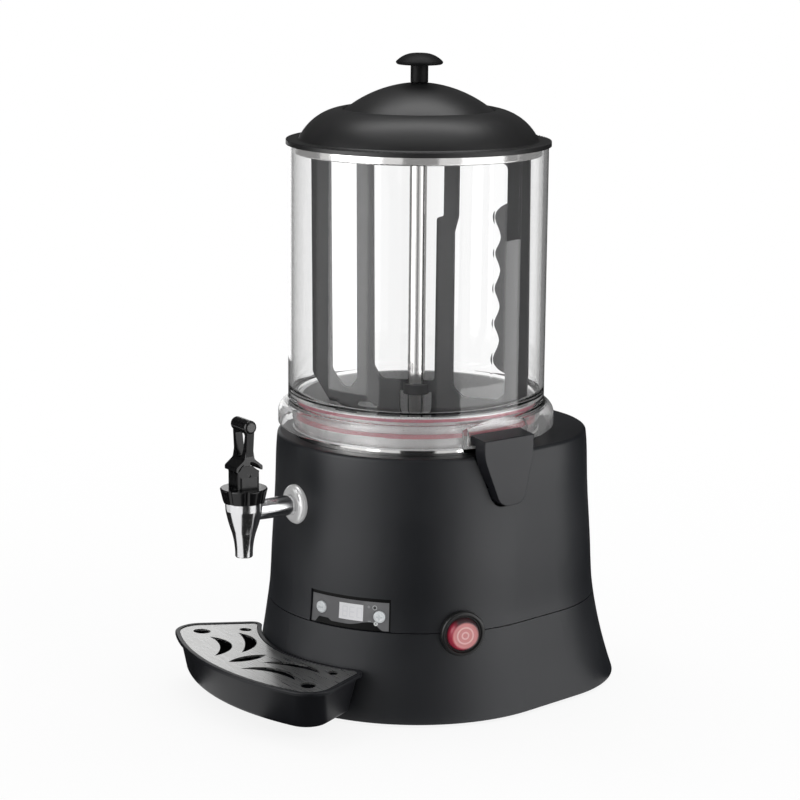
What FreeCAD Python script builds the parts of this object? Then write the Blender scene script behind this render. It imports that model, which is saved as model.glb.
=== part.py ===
import FreeCAD, Part
import math
import os

# Hot chocolate dispenser: a clear stirred bowl on a heated water bath, with a lever tap, a clip-on
# drip tray and a small control panel.  Millimetres, +Z up.  Everything is drawn about the bowl's
# upright axis, with the tap and tray at -Y, and is moved along Y when it is written, so that the
# origin is the bottom centre of the whole machine's box.

# ---- driving dimensions -------------------------------------------------------------------------
FRONT_REACH = 215.0        # bowl axis to the front of the drip tray
BACK_REACH = 196.0         # bowl axis to the end of the cord gland
AXIS_Y = (FRONT_REACH - BACK_REACH) / 2

# moulded body, as sections that change with height
BASE_Z, SEAM_Z, DECK_Z = 2.5, 81.0, 233.0
SEAM_GAP = 0.8
WALL = 3.0
DECK_R, DECK_BACK, REAR_CORNER = 124.5, 158.0, 106.0
FRONT_LEAN, BACK_LEAN, CORNER_GROWTH = 0.0512, 0.073, 0.06
SIDE_TAPER = math.radians(9.7)
FLARE_TOP, FRONT_FLARE, BACK_FLARE = 95.0, 9.5, 15.0
SKIRT_LEVELS = (BASE_Z, 12, 24, 38, 54, 68, SEAM_Z - SEAM_GAP / 2)
HOUSING_LEVELS = (SEAM_Z + SEAM_GAP / 2, 92, 110, 150, 190, DECK_Z)
DECK_EDGE_R = 3.0

# clear bowl and its steel pan
BOWL_R, BOWL_INNER_R, BOWL_TOP_Z = 115.0, 111.0, 492.0
BOWL_FOOT_R, FLANGE_R, FLANGE_Z = 107.0, 124.0, 240.7
PAN_R, PAN_RIM_R, PAN_TOP_Z, PAN_FLOOR_Z = 103.0, 110.6, 265.0, 166.0
BATH_R, BATH_RIM_R, BATH_TOP_Z, BATH_FLOOR_Z = 107.0, 111.0, 238.2, 150.0
BATH_LIP_Z = DECK_Z - WALL
SHEET = 1.2                # steel sheet of the pan and the bath
CHIMNEY_R, CHIMNEY_BORE, CHIMNEY_TOP = 7.75, 6.2, 474.0

# lid
LID_R, LID_RIM_Z, DOME_R, LID_WALL = 117.4, 494.8, 106.0, 2.5
LID_SEAT_Z = BOWL_TOP_Z + 0.3
KNOB_TOP, KNOB_R, KNOB_STEM_R, KNOB_FOOT_Z = 570.0, 20.8, 7.8, 544.0

# stirrer and its drive
SHAFT_R, SHAFT_FOOT, SHAFT_TOP = 5.0, 117.0, 488.0
RUNNING = 0.08             # radial clearance of shafts and pins that turn
PADDLE_TURN = 37.5         # degrees from +X towards +Y at rest
PADDLE_THICK, PADDLE_TOP, PADDLE_FOOT = 4.0, 486.0, 176.0
GEAR_MODULE, GEAR_TEETH, PINION_TEETH = 1.25, 64, 16
PRESSURE_ANGLE = math.radians(25)
BACKLASH = 0.3
GEAR_Z, GEAR_FACE = 124.5, 8.0
CENTRE_DISTANCE = GEAR_MODULE * (GEAR_TEETH + PINION_TEETH) / 2
PLATE_LOW_Z, PLATE_HIGH_Z, PLATE_THICK = 119.0, 137.0, 2.0
SPACER_SPOTS = ((-44, -38), (44, -38), (-44, 84), (44, 84))

# heating element and probe, through the bath's floor
HEATER_R, HEATER_RING_R, HEATER_Z = 4.0, 72.0, 157.5
HEATER_LEGS = ((-71.0, 12.0), (-71.0, -12.0))
PROBE_R, PROBE_SPOT = 2.5, (86.0, 30.0)

# side latches
LATCH_TURN = 4.1           # degrees that a latch's face is turned towards the back
LATCH_FROM, LATCH_TO, LATCH_LOW = -31.5, 24.0, 189.2
LATCH_OUT, LATCH_IN, LATCH_BACK, NOSE_TIP = 134.5, 114.5, 122.0, 115.6
LATCH_PIN_OUT, LATCH_PIN_Z, LATCH_PIN_R = 123.8, 207.0, 2.0
LATCH_WALL, LATCH_GAP, LATCH_DROP = 2.6, 0.5, 2.3
LUG_R = 4.5
LEDGE_Z = 243.4

# tap
TAP_Y, SHANK_Z, SHANK_R, SHANK_BORE = -180.0, 180.0, 9.0, 6.0
TAP_LOW_Z, SPOUT_R, SPOUT_BORE, TAP_HIGH_Z = 140.0, 7.7, 5.6, 189.0
PIVOT_Z, PIVOT_R, CRANK = 214.0, 1.5, 5.0
BONNET_W, SHOULDER_Z, HUMP_Z, CHEEK_R = 21.0, 217.4, 225.6, 8.2
LEVER_TOP_Z, GRIP_R = 263.0, 6.0

# drip tray and grid
TRAY_TOP, TRAY_LOW, TRAY_FRONT_R = 47.4, 12.0, 245.0
TRAY_BODY_R, TRAY_CORNER_R, TRAY_INNER_R = 139.2, 24.0, 9.5
TRAY_SIDE_FROM, TRAY_SIDE_TO = (81.0, -96.0), (132.0, -196.0)
TRAY_SKIN = 2.2

# control panel and power button, placed by bearing round the body from the front towards +X
PANEL_FROM, PANEL_TO, PANEL_HIGH = 12.1, 46.8, 110.0
FASCIA_DROP, FASCIA_THICK = 1.6, 2.6
KEY_R, MINUS_AT, PLUS_AT = 5.3, (17.2, 95.3), (42.3, 93.9)
DISPLAY_FROM, DISPLAY_TO, DISPLAY_LOW, DISPLAY_HIGH = 25.6, 35.8, 88.7, 103.0
LAMP_R, LAMPS_AT = 1.3, ((38.1, 101.9), (40.4, 101.5))
BOARD_PEGS = ((20.5, 105.0), (41.0, 105.0))
POWER_AT, POWER_BEZEL_R, POWER_CAP_R = (74.0, 80.0), 20.0, 14.6

# cord entry at the back
GLAND_Z, GLAND_R, GLAND_BORE, GLAND_SEAT = 38.0, 8.0, 3.75, 7.0

FEET = {"foot_front_left": (-88, -78), "foot_front_right": (88, -78),
        "foot_rear_left": (-78, 112), "foot_rear_right": (78, 112)}
FOOT_R, PLATE_Z, BASE_PLATE_THICK = 12.0, 4.0, 1.5
SCREW_SPOTS = ((-118, -63), (118, -63), (-100, 118), (100, 118))

X_AXIS = FreeCAD.Vector(1, 0, 0)
Y_AXIS = FreeCAD.Vector(0, 1, 0)
Z_AXIS = FreeCAD.Vector(0, 0, 1)


# ---- drawing helpers ----------------------------------------------------------------------------
def vec(x, y, z=0.0):
    return FreeCAD.Vector(x, y, z)


def box(x0, x1, y0, y1, z0, z1):
    return Part.makeBox(x1 - x0, y1 - y0, z1 - z0, vec(x0, y0, z0))


def rod(radius, low, high, x=0.0, y=0.0):
    """An upright cylinder between two heights."""
    return Part.makeCylinder(radius, high - low, vec(x, y, low))


def rod_x(radius, x0, x1, y, z):
    return Part.makeCylinder(radius, x1 - x0, vec(x0, y, z), X_AXIS)


def rod_y(radius, y0, y1, x, z):
    return Part.makeCylinder(radius, y1 - y0, vec(x, y0, z), Y_AXIS)


def tube(outer, inner, low, high, x=0.0, y=0.0):
    return rod(outer, low, high, x, y).cut(rod(inner, low - 1, high + 1, x, y))


def hexagon(across, low, high, x=0.0, y=0.0):
    """A hexagonal prism, across its flats."""
    corner = across / math.sqrt(3)
    points = [vec(x + corner * math.cos(math.radians(60 * i)),
                  y + corner * math.sin(math.radians(60 * i)), low) for i in range(7)]
    return Part.Face(Part.makePolygon(points)).extrude(vec(0, 0, high - low))


def frustum(low_r, high_r, low, high, x=0.0, y=0.0):
    """An upright cone between two heights, or a cylinder where its radii are equal."""
    if abs(low_r - high_r) < 1e-6:
        return rod(low_r, low, high, x, y)
    return Part.makeCone(low_r, high_r, high - low, vec(x, y, low))


def turned(start, *steps):
    """A solid of revolution about Z.  A step is a corner (r, z), or an arc ((r, z) on it, end)."""
    edges, here = [], vec(start[0], 0, start[1])
    for step in steps + (start,):
        arc = isinstance(step[0], tuple)
        there = vec(step[1][0], 0, step[1][1]) if arc else vec(step[0], 0, step[1])
        if arc:
            edges.append(Part.Arc(here, vec(step[0][0], 0, step[0][1]), there).toShape())
        elif (there - here).Length > 1e-6:
            edges.append(Part.makeLine(here, there))
        here = there
    return Part.Face(Part.Wire(edges)).revolve(vec(0, 0, 0), Z_AXIS, 360)


def rounded_wire(corners):
    """A closed outline in the XY plane from (x, y, corner radius) points."""
    edges, last_end, first_start = [], None, None
    count = len(corners)
    for i, (x, y, radius) in enumerate(corners):
        here = vec(x, y)
        before = vec(*corners[i - 1][:2]) - here
        after = vec(*corners[(i + 1) % count][:2]) - here
        before.normalize()
        after.normalize()
        half = before.getAngle(after) / 2
        if radius > 0 and half < math.pi / 2 - 0.01:
            reach = radius / math.tan(half)
            start, end = here + before * reach, here + after * reach
            inward = before + after
            inward.normalize()
            middle = here + inward * (radius / math.sin(half) - radius)
            arc = Part.Arc(start, middle, end).toShape()
        else:
            start = end = here
            arc = None
        if last_end is not None and (start - last_end).Length > 1e-6:
            edges.append(Part.makeLine(last_end, start))
        if arc:
            edges.append(arc)
        first_start = first_start or start
        last_end = end
    if (first_start - last_end).Length > 1e-6:
        edges.append(Part.makeLine(last_end, first_start))
    return Part.Wire(edges)


def rounded_plate(corners, low, high):
    plate = Part.Face(rounded_wire(corners)).extrude(vec(0, 0, high - low))
    plate.translate(vec(0, 0, low))
    return plate


def aimed(shape, bearing, radius, height):
    """Set a shape drawn along +Z on the body's side, facing out at a bearing from the front."""
    angle = math.radians(bearing)
    out = vec(math.sin(angle), -math.cos(angle))
    side = vec(math.cos(angle), math.sin(angle))
    place = out * radius + vec(0, 0, height)
    shape = shape.copy()
    shape.transformShape(FreeCAD.Matrix(side.x, 0, out.x, place.x,
                                        side.y, 0, out.y, place.y,
                                        0, 1, 0, place.z,
                                        0, 0, 0, 1))
    return shape


def joined(*shapes):
    return shapes[0].fuse(list(shapes[1:])).removeSplitter()


def grouped(shapes):
    return Part.makeCompound(list(shapes))


# ---- the body's outer form ----------------------------------------------------------------------
def flare(z, reach, power):
    return reach * max(0.0, (FLARE_TOP - z) / FLARE_TOP) ** power


def front_radius(z):
    return DECK_R + FRONT_LEAN * (DECK_Z - z) + flare(z, FRONT_FLARE, 1.25)


def back_line(z):
    return DECK_BACK + BACK_LEAN * (DECK_Z - z) + flare(z, BACK_FLARE, 1.85)


def body_section(z, inset):
    """Round front about the bowl axis, sides that draw in, big round rear corners, flat back."""
    front = front_radius(z) - inset
    corner = REAR_CORNER + CORNER_GROWTH * (DECK_Z - z) - inset
    corner_y = back_line(z) - inset - corner
    sin_t, cos_t = math.sin(SIDE_TAPER), math.cos(SIDE_TAPER)
    corner_x = (front - corner - sin_t * corner_y) / cos_t
    back = corner_y + corner

    def on_front(angle):
        return vec(front * math.cos(angle), front * math.sin(angle), z)

    def on_corner(side, angle):
        return vec(side * (corner_x + corner * math.cos(angle)),
                   corner_y + corner * math.sin(angle), z)

    right, left = SIDE_TAPER, math.pi - SIDE_TAPER
    nose = -math.pi / 2
    half = (math.pi / 2 + SIDE_TAPER) / 2
    rear = (SIDE_TAPER + math.pi / 2) / 2
    return Part.Wire([
        Part.Arc(on_front(nose), on_front(nose + half), on_front(right)).toShape(),
        Part.makeLine(on_front(right), on_corner(1, SIDE_TAPER)),
        Part.Arc(on_corner(1, SIDE_TAPER), on_corner(1, rear), vec(corner_x, back, z)).toShape(),
        Part.makeLine(vec(corner_x, back, z), vec(-corner_x, back, z)),
        Part.Arc(vec(-corner_x, back, z), on_corner(-1, rear), on_corner(-1, SIDE_TAPER)).toShape(),
        Part.makeLine(on_corner(-1, SIDE_TAPER), on_front(left)),
        Part.Arc(on_front(left), on_front(nose - half), on_front(nose)).toShape()])


def body_block(levels, inset=0.0):
    return Part.makeLoft([body_section(z, inset) for z in levels], True, False)


def clipped_levels(low, high):
    """Section heights between two limits, with both limits among them."""
    inside = [z for z in SKIRT_LEVELS + HOUSING_LEVELS if low + 2 < z < high - 2]
    return [low] + inside + [high]


def body_between(low, high, inset=0.0):
    return body_block(clipped_levels(low, high), inset)


def sector(bearing_from, bearing_to, low, high):
    """A wedge of space that cuts the body's side between two bearings."""
    reach = 200.0
    points = [vec(0, 0, low)]
    for bearing in (bearing_from, (bearing_from + bearing_to) / 2, bearing_to):
        angle = math.radians(bearing)
        points.append(vec(reach * math.sin(angle), -reach * math.cos(angle), low))
    return Part.Face(Part.makePolygon(points + points[:1])).extrude(vec(0, 0, high - low))


# ---- body shells --------------------------------------------------------------------------------
def latch_outline(grow=0.0, drop=0.0):
    """A latch's outline seen from its side, as (along, height, corner radius)."""
    y0, y1, low = LATCH_FROM - grow, LATCH_TO + grow, LATCH_LOW - drop
    return [(y0, 262, 0), (y1, 262, 0), (y1, 232, 45), (y1 - 9.5, low, 11), (y0 + 19.5, low, 14),
            (y0, 234, 40)]


def at_latch(shape, side):
    """Set a shape drawn in (along, height, outward) on the machine's right side, or its left."""
    placed = aimed(shape, 90 + LATCH_TURN, 0, 0)
    return placed if side > 0 else placed.mirror(vec(0, 0, 0), X_AXIS)


def latch_pocket(side, grow=0.0):
    """The space in the housing that a latch lies and swings in."""
    outline = latch_outline(LATCH_GAP + grow, LATCH_DROP + grow)
    space = rounded_plate(outline, LATCH_IN - grow, 150)
    return at_latch(space.cut(box(-60, 60, DECK_Z + 1, 300, 90, 160)), side)


def latch_lug(side):
    """The eye inside the pocket that carries a latch's pin."""
    middle = (LATCH_FROM + LATCH_TO) / 2
    y0, y1 = middle - 8, middle + 8
    arm = box(y0, y1, LATCH_PIN_Z - LUG_R, LATCH_PIN_Z + LUG_R, LATCH_IN - 0.6, LATCH_PIN_OUT)
    eye = rod_x(LUG_R, y0, y1, LATCH_PIN_Z, LATCH_PIN_OUT)
    bore = rod_x(LATCH_PIN_R, y0 - 1, y1 + 1, LATCH_PIN_Z, LATCH_PIN_OUT)
    return at_latch(arm.fuse(eye).cut(bore), side)


def rear_vents():
    """Cooling slots through the back wall."""
    slots = []
    for row in range(8):
        z = 112.0 + 9.5 * row
        reach = 30.0
        slot = box(-reach, reach, 120, 220, z, z + 3.2)
        slots += [slot, rod_y(1.6, 120, 220, -reach, z + 1.6), rod_y(1.6, 120, 220, reach, z + 1.6)]
    return slots


def upper_housing():
    outer = body_block(HOUSING_LEVELS)
    top_edges = [e for e in outer.Edges if e.BoundBox.ZMin > DECK_Z - 0.1]
    outer = outer.makeFillet(DECK_EDGE_R, top_edges)
    inner = body_between(HOUSING_LEVELS[0] - 1, DECK_Z - WALL, WALL)
    shell = outer.cut(inner).cut(rod(BATH_RIM_R + 0.5, DECK_Z - 10, DECK_Z + 1))
    for side in (-1, 1):
        liner = latch_pocket(side, 1.0).common(body_between(150, DECK_Z, 0.6))
        shell = shell.fuse(liner).cut(latch_pocket(side)).fuse(latch_lug(side))
    window = sector(PANEL_FROM, PANEL_TO, SEAM_Z - 5, PANEL_HIGH)
    shell = shell.cut(window.cut(rod(110, SEAM_Z - 6, PANEL_HIGH + 1)))
    shell = shell.cut(power_hole())
    shell = shell.cut(rod_y(SHANK_R + 0.1, -140, -110, 0, SHANK_Z))
    return shell.cut(rear_vents())


def power_hole():
    bearing, height = POWER_AT
    return aimed(rod(16.5, -25, 15), bearing, front_radius(height), height)


def base_skirt():
    """The flared lower shell, with a lip that the housing nests on and four screw pillars."""
    top = SKIRT_LEVELS[-1]
    shell = body_block(SKIRT_LEVELS).cut(body_between(BASE_Z - 1, top + 1, WALL))
    lip = body_between(top - 6, top + 6, WALL + 0.1).cut(body_between(top - 7, top + 7, WALL + 2.1))
    shelf = body_between(top - 6, top - 3, WALL - 0.5).cut(body_between(top - 7, top - 2, WALL + 2.0))
    lip = lip.cut(sector(PANEL_FROM - 3, PANEL_TO + 3, top, top + 10))
    shell = shell.fuse([lip, shelf])
    low = PLATE_Z + BASE_PLATE_THICK
    inside = body_between(low, 30, 1.0)
    for x, y in SCREW_SPOTS:
        rib = box(0, 30, -2, 2, low, 24)
        rib.rotate(vec(0, 0, 0), Z_AXIS, math.degrees(math.atan2(y, x)))
        rib.translate(vec(x, y))
        pillar = rod(6.0, low, 24, x, y).fuse(rib).common(inside)
        shell = shell.fuse(pillar).cut(rod(2.0, low - 1, 22, x, y))
    for side in (-1, 1):
        shell = shell.cut(tongue_space(side, 0.5))
    seat = rod_y(13.0, back_line(GLAND_Z) - GLAND_SEAT, 200, 0, GLAND_Z)
    shell = shell.fuse(seat.common(body_between(15, 65, 1.0)))
    return shell.cut([power_hole(), rod_y(GLAND_R + 0.1, 150, 200, 0, GLAND_Z)])


def base_plate():
    low = PLATE_Z
    plate = body_between(low, low + BASE_PLATE_THICK, WALL + 1.0)
    for x, y in FEET.values():
        plate = plate.cut(rod(4.0, 0, 10, x, y))
    for x, y in SCREW_SPOTS:
        plate = plate.cut(rod(2.2, 0, 10, x, y))
    slots = [box(x - 1.75, x + 1.75, -30, 30, 0, 10) for x in range(-42, 43, 12)]
    return plate.cut(slots)


def foot(x, y):
    """A rubber foot whose button head is pulled through the base plate."""
    top = PLATE_Z + BASE_PLATE_THICK
    shape = turned((0, 0), (FOOT_R - 2.0, 0), (FOOT_R, PLATE_Z), (4.0, PLATE_Z), (4.0, top),
                   (5.5, top), (4.0, top + 3.0), (0, top + 3.0))
    shape.translate(vec(x, y))
    return shape


def base_screws():
    screws = []
    for x, y in SCREW_SPOTS:
        screw = turned((0, 1.6), (3.4, 1.6), ((4.1, 2.6), (4.2, 4.0)), (2.0, 4.0), (2.0, 20), (0, 21))
        screw.translate(vec(x, y))
        screws.append(screw.cut(box(x - 3, x + 3, y - 0.5, y + 0.5, 1, 2.6)))
    return grouped(screws)


# ---- bowl, pan and water bath -------------------------------------------------------------------
def water_bath():
    """The steel bath that hangs from the deck, with the chimney tube welded through its floor."""
    bath = turned((0, BATH_FLOOR_Z), (BATH_R - 6, BATH_FLOOR_Z),
                  ((BATH_R - 1.8, BATH_FLOOR_Z + 1.8), (BATH_R, BATH_FLOOR_Z + 6)),
                  (BATH_R, 220), (BATH_RIM_R, 226), (BATH_RIM_R, BATH_TOP_Z),
                  (BATH_RIM_R - SHEET, BATH_TOP_Z), (BATH_RIM_R - SHEET, 226.5),
                  (BATH_R - SHEET, 220.5), (BATH_R - SHEET, BATH_FLOOR_Z + 6),
                  ((BATH_R - 2.6, BATH_FLOOR_Z + 2.6), (BATH_R - 6, BATH_FLOOR_Z + SHEET)),
                  (0, BATH_FLOOR_Z + SHEET))
    lip = tube(117.5, BATH_RIM_R - 0.5, BATH_LIP_Z - SHEET, BATH_LIP_Z)
    for side in (-1, 1):
        lip = lip.cut(latch_pocket(side, 2.2))
    chimney = rod(CHIMNEY_R, BATH_FLOOR_Z - 4, CHIMNEY_TOP)
    bath = joined(bath, lip, chimney).cut(rod(CHIMNEY_BORE, 100, CHIMNEY_TOP + 1))
    bath = bath.cut(rod_y(SHANK_R + 0.05, -120, -95, 0, SHANK_Z))
    for x, y in HEATER_LEGS:
        bath = bath.cut(rod(HEATER_R, 140, 155, x, y))
    return bath.cut(rod(PROBE_R, 140, 155, *PROBE_SPOT))


def product_pan():
    """The steel floor of the bowl: it hangs in the bath by its rim and holds the tap's shank."""
    low = PAN_FLOOR_Z
    pan = turned((CHIMNEY_R, low), (PAN_R - 5, low), ((PAN_R - 1.5, low + 1.5), (PAN_R, low + 5)),
                 (PAN_R, BATH_TOP_Z), (PAN_RIM_R, BATH_TOP_Z), (PAN_RIM_R, BATH_TOP_Z + SHEET),
                 (PAN_R, BATH_TOP_Z + SHEET), (PAN_R, PAN_TOP_Z), (BOWL_FOOT_R - 0.4, PAN_TOP_Z),
                 (BOWL_FOOT_R - 0.4, PAN_TOP_Z + SHEET), (PAN_R - SHEET, PAN_TOP_Z + SHEET),
                 (PAN_R - SHEET, low + 5), ((PAN_R - 2.3, low + 2.3), (PAN_R - 5, low + SHEET)),
                 (CHIMNEY_R, low + SHEET))
    return pan.cut(rod_y(SHANK_R + 0.05, -120, -95, 0, SHANK_Z))


def pan_rim_gasket():
    """Red silicone ring under the pan's turned-out rim."""
    return turned((PAN_R, PAN_TOP_Z - 3.4), (BOWL_FOOT_R - 0.1, PAN_TOP_Z - 3.4),
                  (BOWL_FOOT_R - 0.1, PAN_TOP_Z), (PAN_R, PAN_TOP_Z))


def pan_seal_ring():
    """Red silicone ring lower down the pan, which the bowl's foot presses on."""
    return turned((PAN_R, 247.8), (BOWL_FOOT_R - 0.1, 247.8), (BOWL_FOOT_R - 0.1, 251.4),
                  (PAN_R, 251.4))


def bowl_cylinder():
    """Clear moulded bowl with a hollow foot flange, notched for the latches' noses."""
    foot_z, skin = BATH_TOP_Z + SHEET, 3.0
    bowl = turned((BOWL_FOOT_R, foot_z), (110.2, foot_z), (110.2, FLANGE_Z), (FLANGE_R - 1, FLANGE_Z),
                  (FLANGE_R, FLANGE_Z + 1), (FLANGE_R, 251), ((122.3, 256.6), (118.4, 260.2)),
                  ((115.9, 262.3), (BOWL_R, 265.6)), (BOWL_R, BOWL_TOP_Z - 1),
                  ((BOWL_R - 2, BOWL_TOP_Z), (BOWL_INNER_R, BOWL_TOP_Z - 1)), (BOWL_INNER_R, 276.0),
                  ((110.0, 272.5), (BOWL_FOOT_R, 269.0)))
    hollow = turned((110.2, FLANGE_Z - 1), (FLANGE_R - skin, FLANGE_Z - 1), (FLANGE_R - skin, 250.6),
                    ((119.6, 254.8), (116.6, 257.4)), ((113.8, 259.2), (110.2, 259.0)))
    notches = []
    for side in (-1, 1):
        y0, y1 = LATCH_FROM - 4.2, LATCH_TO + 4.2
        block = box(y0 - skin, y1 + skin, FLANGE_Z - 2, 262, NOSE_TIP - 0.3 - skin, 140)
        hollow = hollow.cut(at_latch(block, side))
        notches.append(at_latch(box(y0, y1, LEDGE_Z, 290, NOSE_TIP - 0.3, 140), side))
    body = rod(BOWL_R + 0.01, 262, 300)
    return bowl.cut(hollow).cut([notch.cut(body) for notch in notches])


# ---- lid ----------------------------------------------------------------------------------------
def lid_shell():
    crown_in = KNOB_FOOT_Z - LID_WALL
    shell = turned((0, KNOB_FOOT_Z), (9.0, KNOB_FOOT_Z), ((41.0, 535.4), (66.8, 519.4)),
                   ((68.0, 521.0), (71.5, 521.6)), ((93.5, 511.3), (DOME_R, LID_RIM_Z + 0.4)),
                   (DOME_R + 1.0, LID_RIM_Z - 0.4), (LID_R - 1.6, LID_RIM_Z - 0.4),
                   ((LID_R - 0.6, LID_RIM_Z), (LID_R, LID_RIM_Z - 0.8)), (LID_R, 490.5),
                   (LID_R - 1.6, 490.5), (LID_R - 1.6, LID_SEAT_Z), (DOME_R - 2.0, LID_SEAT_Z),
                   ((91.8, 508.9), (70.5, 519.0)), (66.0, 516.4),
                   ((40.4, 532.8), (9.0, crown_in)), (0, crown_in))
    return shell.cut(rod(2.7, 530, 550))


def lid_ring():
    """Polished steel band under the lid that centres it in the bowl."""
    return turned((108.0, 483.0), ((108.9, 483.3), (109.2, 484.2)), (109.2, LID_SEAT_Z),
                  (105.0, LID_SEAT_Z), (105.0, LID_SEAT_Z - 0.9), (108.0, LID_SEAT_Z - 0.9))


def lid_knob():
    edge, under = 563.0, 560.4
    knob = turned((0, KNOB_FOOT_Z), (KNOB_STEM_R - 0.8, KNOB_FOOT_Z), (KNOB_STEM_R, KNOB_FOOT_Z + 1),
                  (KNOB_STEM_R, under), (17.5, under), ((KNOB_R - 0.5, 561.0), (KNOB_R, 562.2)),
                  (KNOB_R - 0.4, edge), ((12.5, 568.4), (2.0, KNOB_TOP)), (0, KNOB_TOP))
    return knob.cut(rod(2.4, KNOB_FOOT_Z - 1, 558))


def lid_knob_screw():
    """The screw that holds the knob, up through the lid's crown."""
    seat = KNOB_FOOT_Z - LID_WALL
    screw = turned((0, seat - 3), (4.2, seat - 3), ((5.2, seat - 1.6), (5.4, seat)), (2.4, seat),
                   (2.4, 556), (0, 557))
    return screw.cut(box(-3.5, 3.5, -0.6, 0.6, seat - 4, seat - 1.8))


# ---- stirrer ------------------------------------------------------------------------------------
def wavy_edge(low, high):
    """The space along the frame's wavy edge, which whips the drink."""
    crest, valley = 72.0, 77.0
    waves = [(81.3, 441.5), (crest, 425.7), (valley, 410.7), (crest, 397.9), (valley, 382.7),
             (crest, 366.0), (valley, 349.8), (crest, 334.9), (valley, 320.6), (crest, 305.6),
             (82.7, 290.6)]
    edge = Part.BSplineCurve()
    edge.interpolate([vec(u, z) for u, z in waves])
    sides = [vec(82.7, 290.6), vec(60, 290.6), vec(60, 441.5), vec(81.3, 441.5)]
    wire = Part.Wire([edge.toShape(), Part.makePolygon(sides)])
    plate = Part.Face(wire).extrude(vec(0, 0, high - low))
    plate.translate(vec(0, 0, low))
    return plate


def paddle_windows():
    """Openings of the flat plate, as (u across, z up, corner radius) outlines."""
    top = PADDLE_TOP - 9
    left = [(-83, top, 4), (-57.5, top, 4), (-55.8, 276, 8), (-63, 266.5, 5), (-70, 268, 4),
            (-80.8, 283, 8)]
    middle = [(-42, top, 3), (24.6, top, 3), (24.5, 428, 2), (18.2, 426, 2.5), (17.8, 278.6, 4),
              (-33, 277.4, 8), (-40.2, 289, 8)]
    right = [(38.0, top, 3), (82.4, top, 6), (82.4, 441.5, 0), (60.1, 441.5, 0), (60.1, 290.6, 0),
             (82.9, 290.6, 0), (82.9, 272, 5), (76, 265.8, 4), (45, 265.8, 8), (34.6, 274, 12),
             (34.2, 414, 6), (37.8, 428, 6)]
    neck = [(-15.4, 268.4, 0), (15.2, 268.4, 0), (15.2, PADDLE_FOOT - 5, 0), (-15.4, PADDLE_FOOT - 5, 0)]
    notch = [(-57, 255, 6.5), (-38, 255, 8), (-36, 236, 8), (-58, 236, 8)]
    return [left, middle, right, neck, notch]


def stirring_paddle():
    outline = [(-101.5, PADDLE_TOP, 4), (101.5, PADDLE_TOP, 4), (103, 290, 0), (102, 268, 14),
               (90, 251, 10), (84, PADDLE_FOOT, 14), (15.2, PADDLE_FOOT, 2), (-15.4, PADDLE_FOOT, 2),
               (-77, PADDLE_FOOT, 10), (-77, 246, 6), (-99.5, 279, 6)]
    half = PADDLE_THICK / 2
    plate = rounded_plate(outline, -half, half)
    windows = [rounded_plate(window, -half - 1, half + 1) for window in paddle_windows()]
    plate = plate.cut(windows + [wavy_edge(-half - 1, half + 1)])
    plate.rotate(vec(0, 0, 0), X_AXIS, 90)
    low_hub = rod(11.5, 266.4, 275.4).cut(rod(CHIMNEY_R + 0.4, 260, 280))
    top_hub = rod(10.0, 476, PADDLE_TOP + 1.5).cut(rod(SHAFT_R, 470, 490))
    plate = plate.cut([rod(CHIMNEY_R + 0.4, 260, 280), rod(SHAFT_R, 470, 490)])
    paddle = joined(plate, low_hub, top_hub)
    paddle.rotate(vec(0, 0, 0), Z_AXIS, PADDLE_TURN)
    return paddle


def drive_shaft():
    shaft = turned((0, SHAFT_FOOT), (SHAFT_R - 0.6, SHAFT_FOOT), (SHAFT_R, SHAFT_FOOT + 0.6),
                   (SHAFT_R, SHAFT_TOP - 1), (SHAFT_R - 1, SHAFT_TOP), (0, SHAFT_TOP))
    return shaft


def bush(outer, low, high, flange_r=0.0, flange_low=0.0, flange_high=0.0, bore=SHAFT_R):
    shape = rod(outer, low, high)
    if flange_r:
        shape = joined(shape, rod(flange_r, flange_low, flange_high))
    return shape.cut(rod(bore + RUNNING, low - 5, high + 5))


def gear(teeth, phase, x, y, low, face, bore):
    """An involute spur gear with a little backlash."""
    pitch_r = GEAR_MODULE * teeth / 2
    base_r = pitch_r * math.cos(PRESSURE_ANGLE)
    tip_r, root_r = pitch_r + 0.92 * GEAR_MODULE, pitch_r - 1.3 * GEAR_MODULE
    at_pitch = math.pi / (2 * teeth) - BACKLASH / (4 * pitch_r)

    def half_width(radius):
        if radius <= base_r:
            pressure = 0.0
        else:
            pressure = math.acos(base_r / radius)
        at_base = at_pitch + math.tan(PRESSURE_ANGLE) - PRESSURE_ANGLE
        return at_base - (math.tan(pressure) - pressure)

    radii = [root_r] + [max(root_r, base_r) + (tip_r - max(root_r, base_r)) * i / 4 for i in range(5)]
    points = []
    for tooth in range(teeth):
        centre = math.radians(phase) + 2 * math.pi * tooth / teeth
        flank = [(radius, centre - half_width(radius)) for radius in radii]
        flank += [(radius, centre + half_width(radius)) for radius in reversed(radii)]
        points += [vec(r * math.cos(a), r * math.sin(a), 0) for r, a in flank]
    outline = [p for i, p in enumerate(points) if i == 0 or (p - points[i - 1]).Length > 1e-4]
    blank = Part.Face(Part.makePolygon(outline + outline[:1])).extrude(vec(0, 0, face))
    blank.translate(vec(x, y, low))
    return blank.cut(rod(bore, low - 1, low + face + 1, x, y))


def drive_gear():
    wheel = gear(GEAR_TEETH, 0, 0, 0, GEAR_Z, GEAR_FACE, SHAFT_R)
    hub = tube(10, SHAFT_R, GEAR_Z, GEAR_Z + GEAR_FACE + 1)
    lightening = [rod(7.5, GEAR_Z - 1, GEAR_Z + 20, 25 * math.cos(math.radians(a)),
                      25 * math.sin(math.radians(a))) for a in range(30, 390, 60)]
    return wheel.cut(lightening).fuse(hub).removeSplitter()


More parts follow.
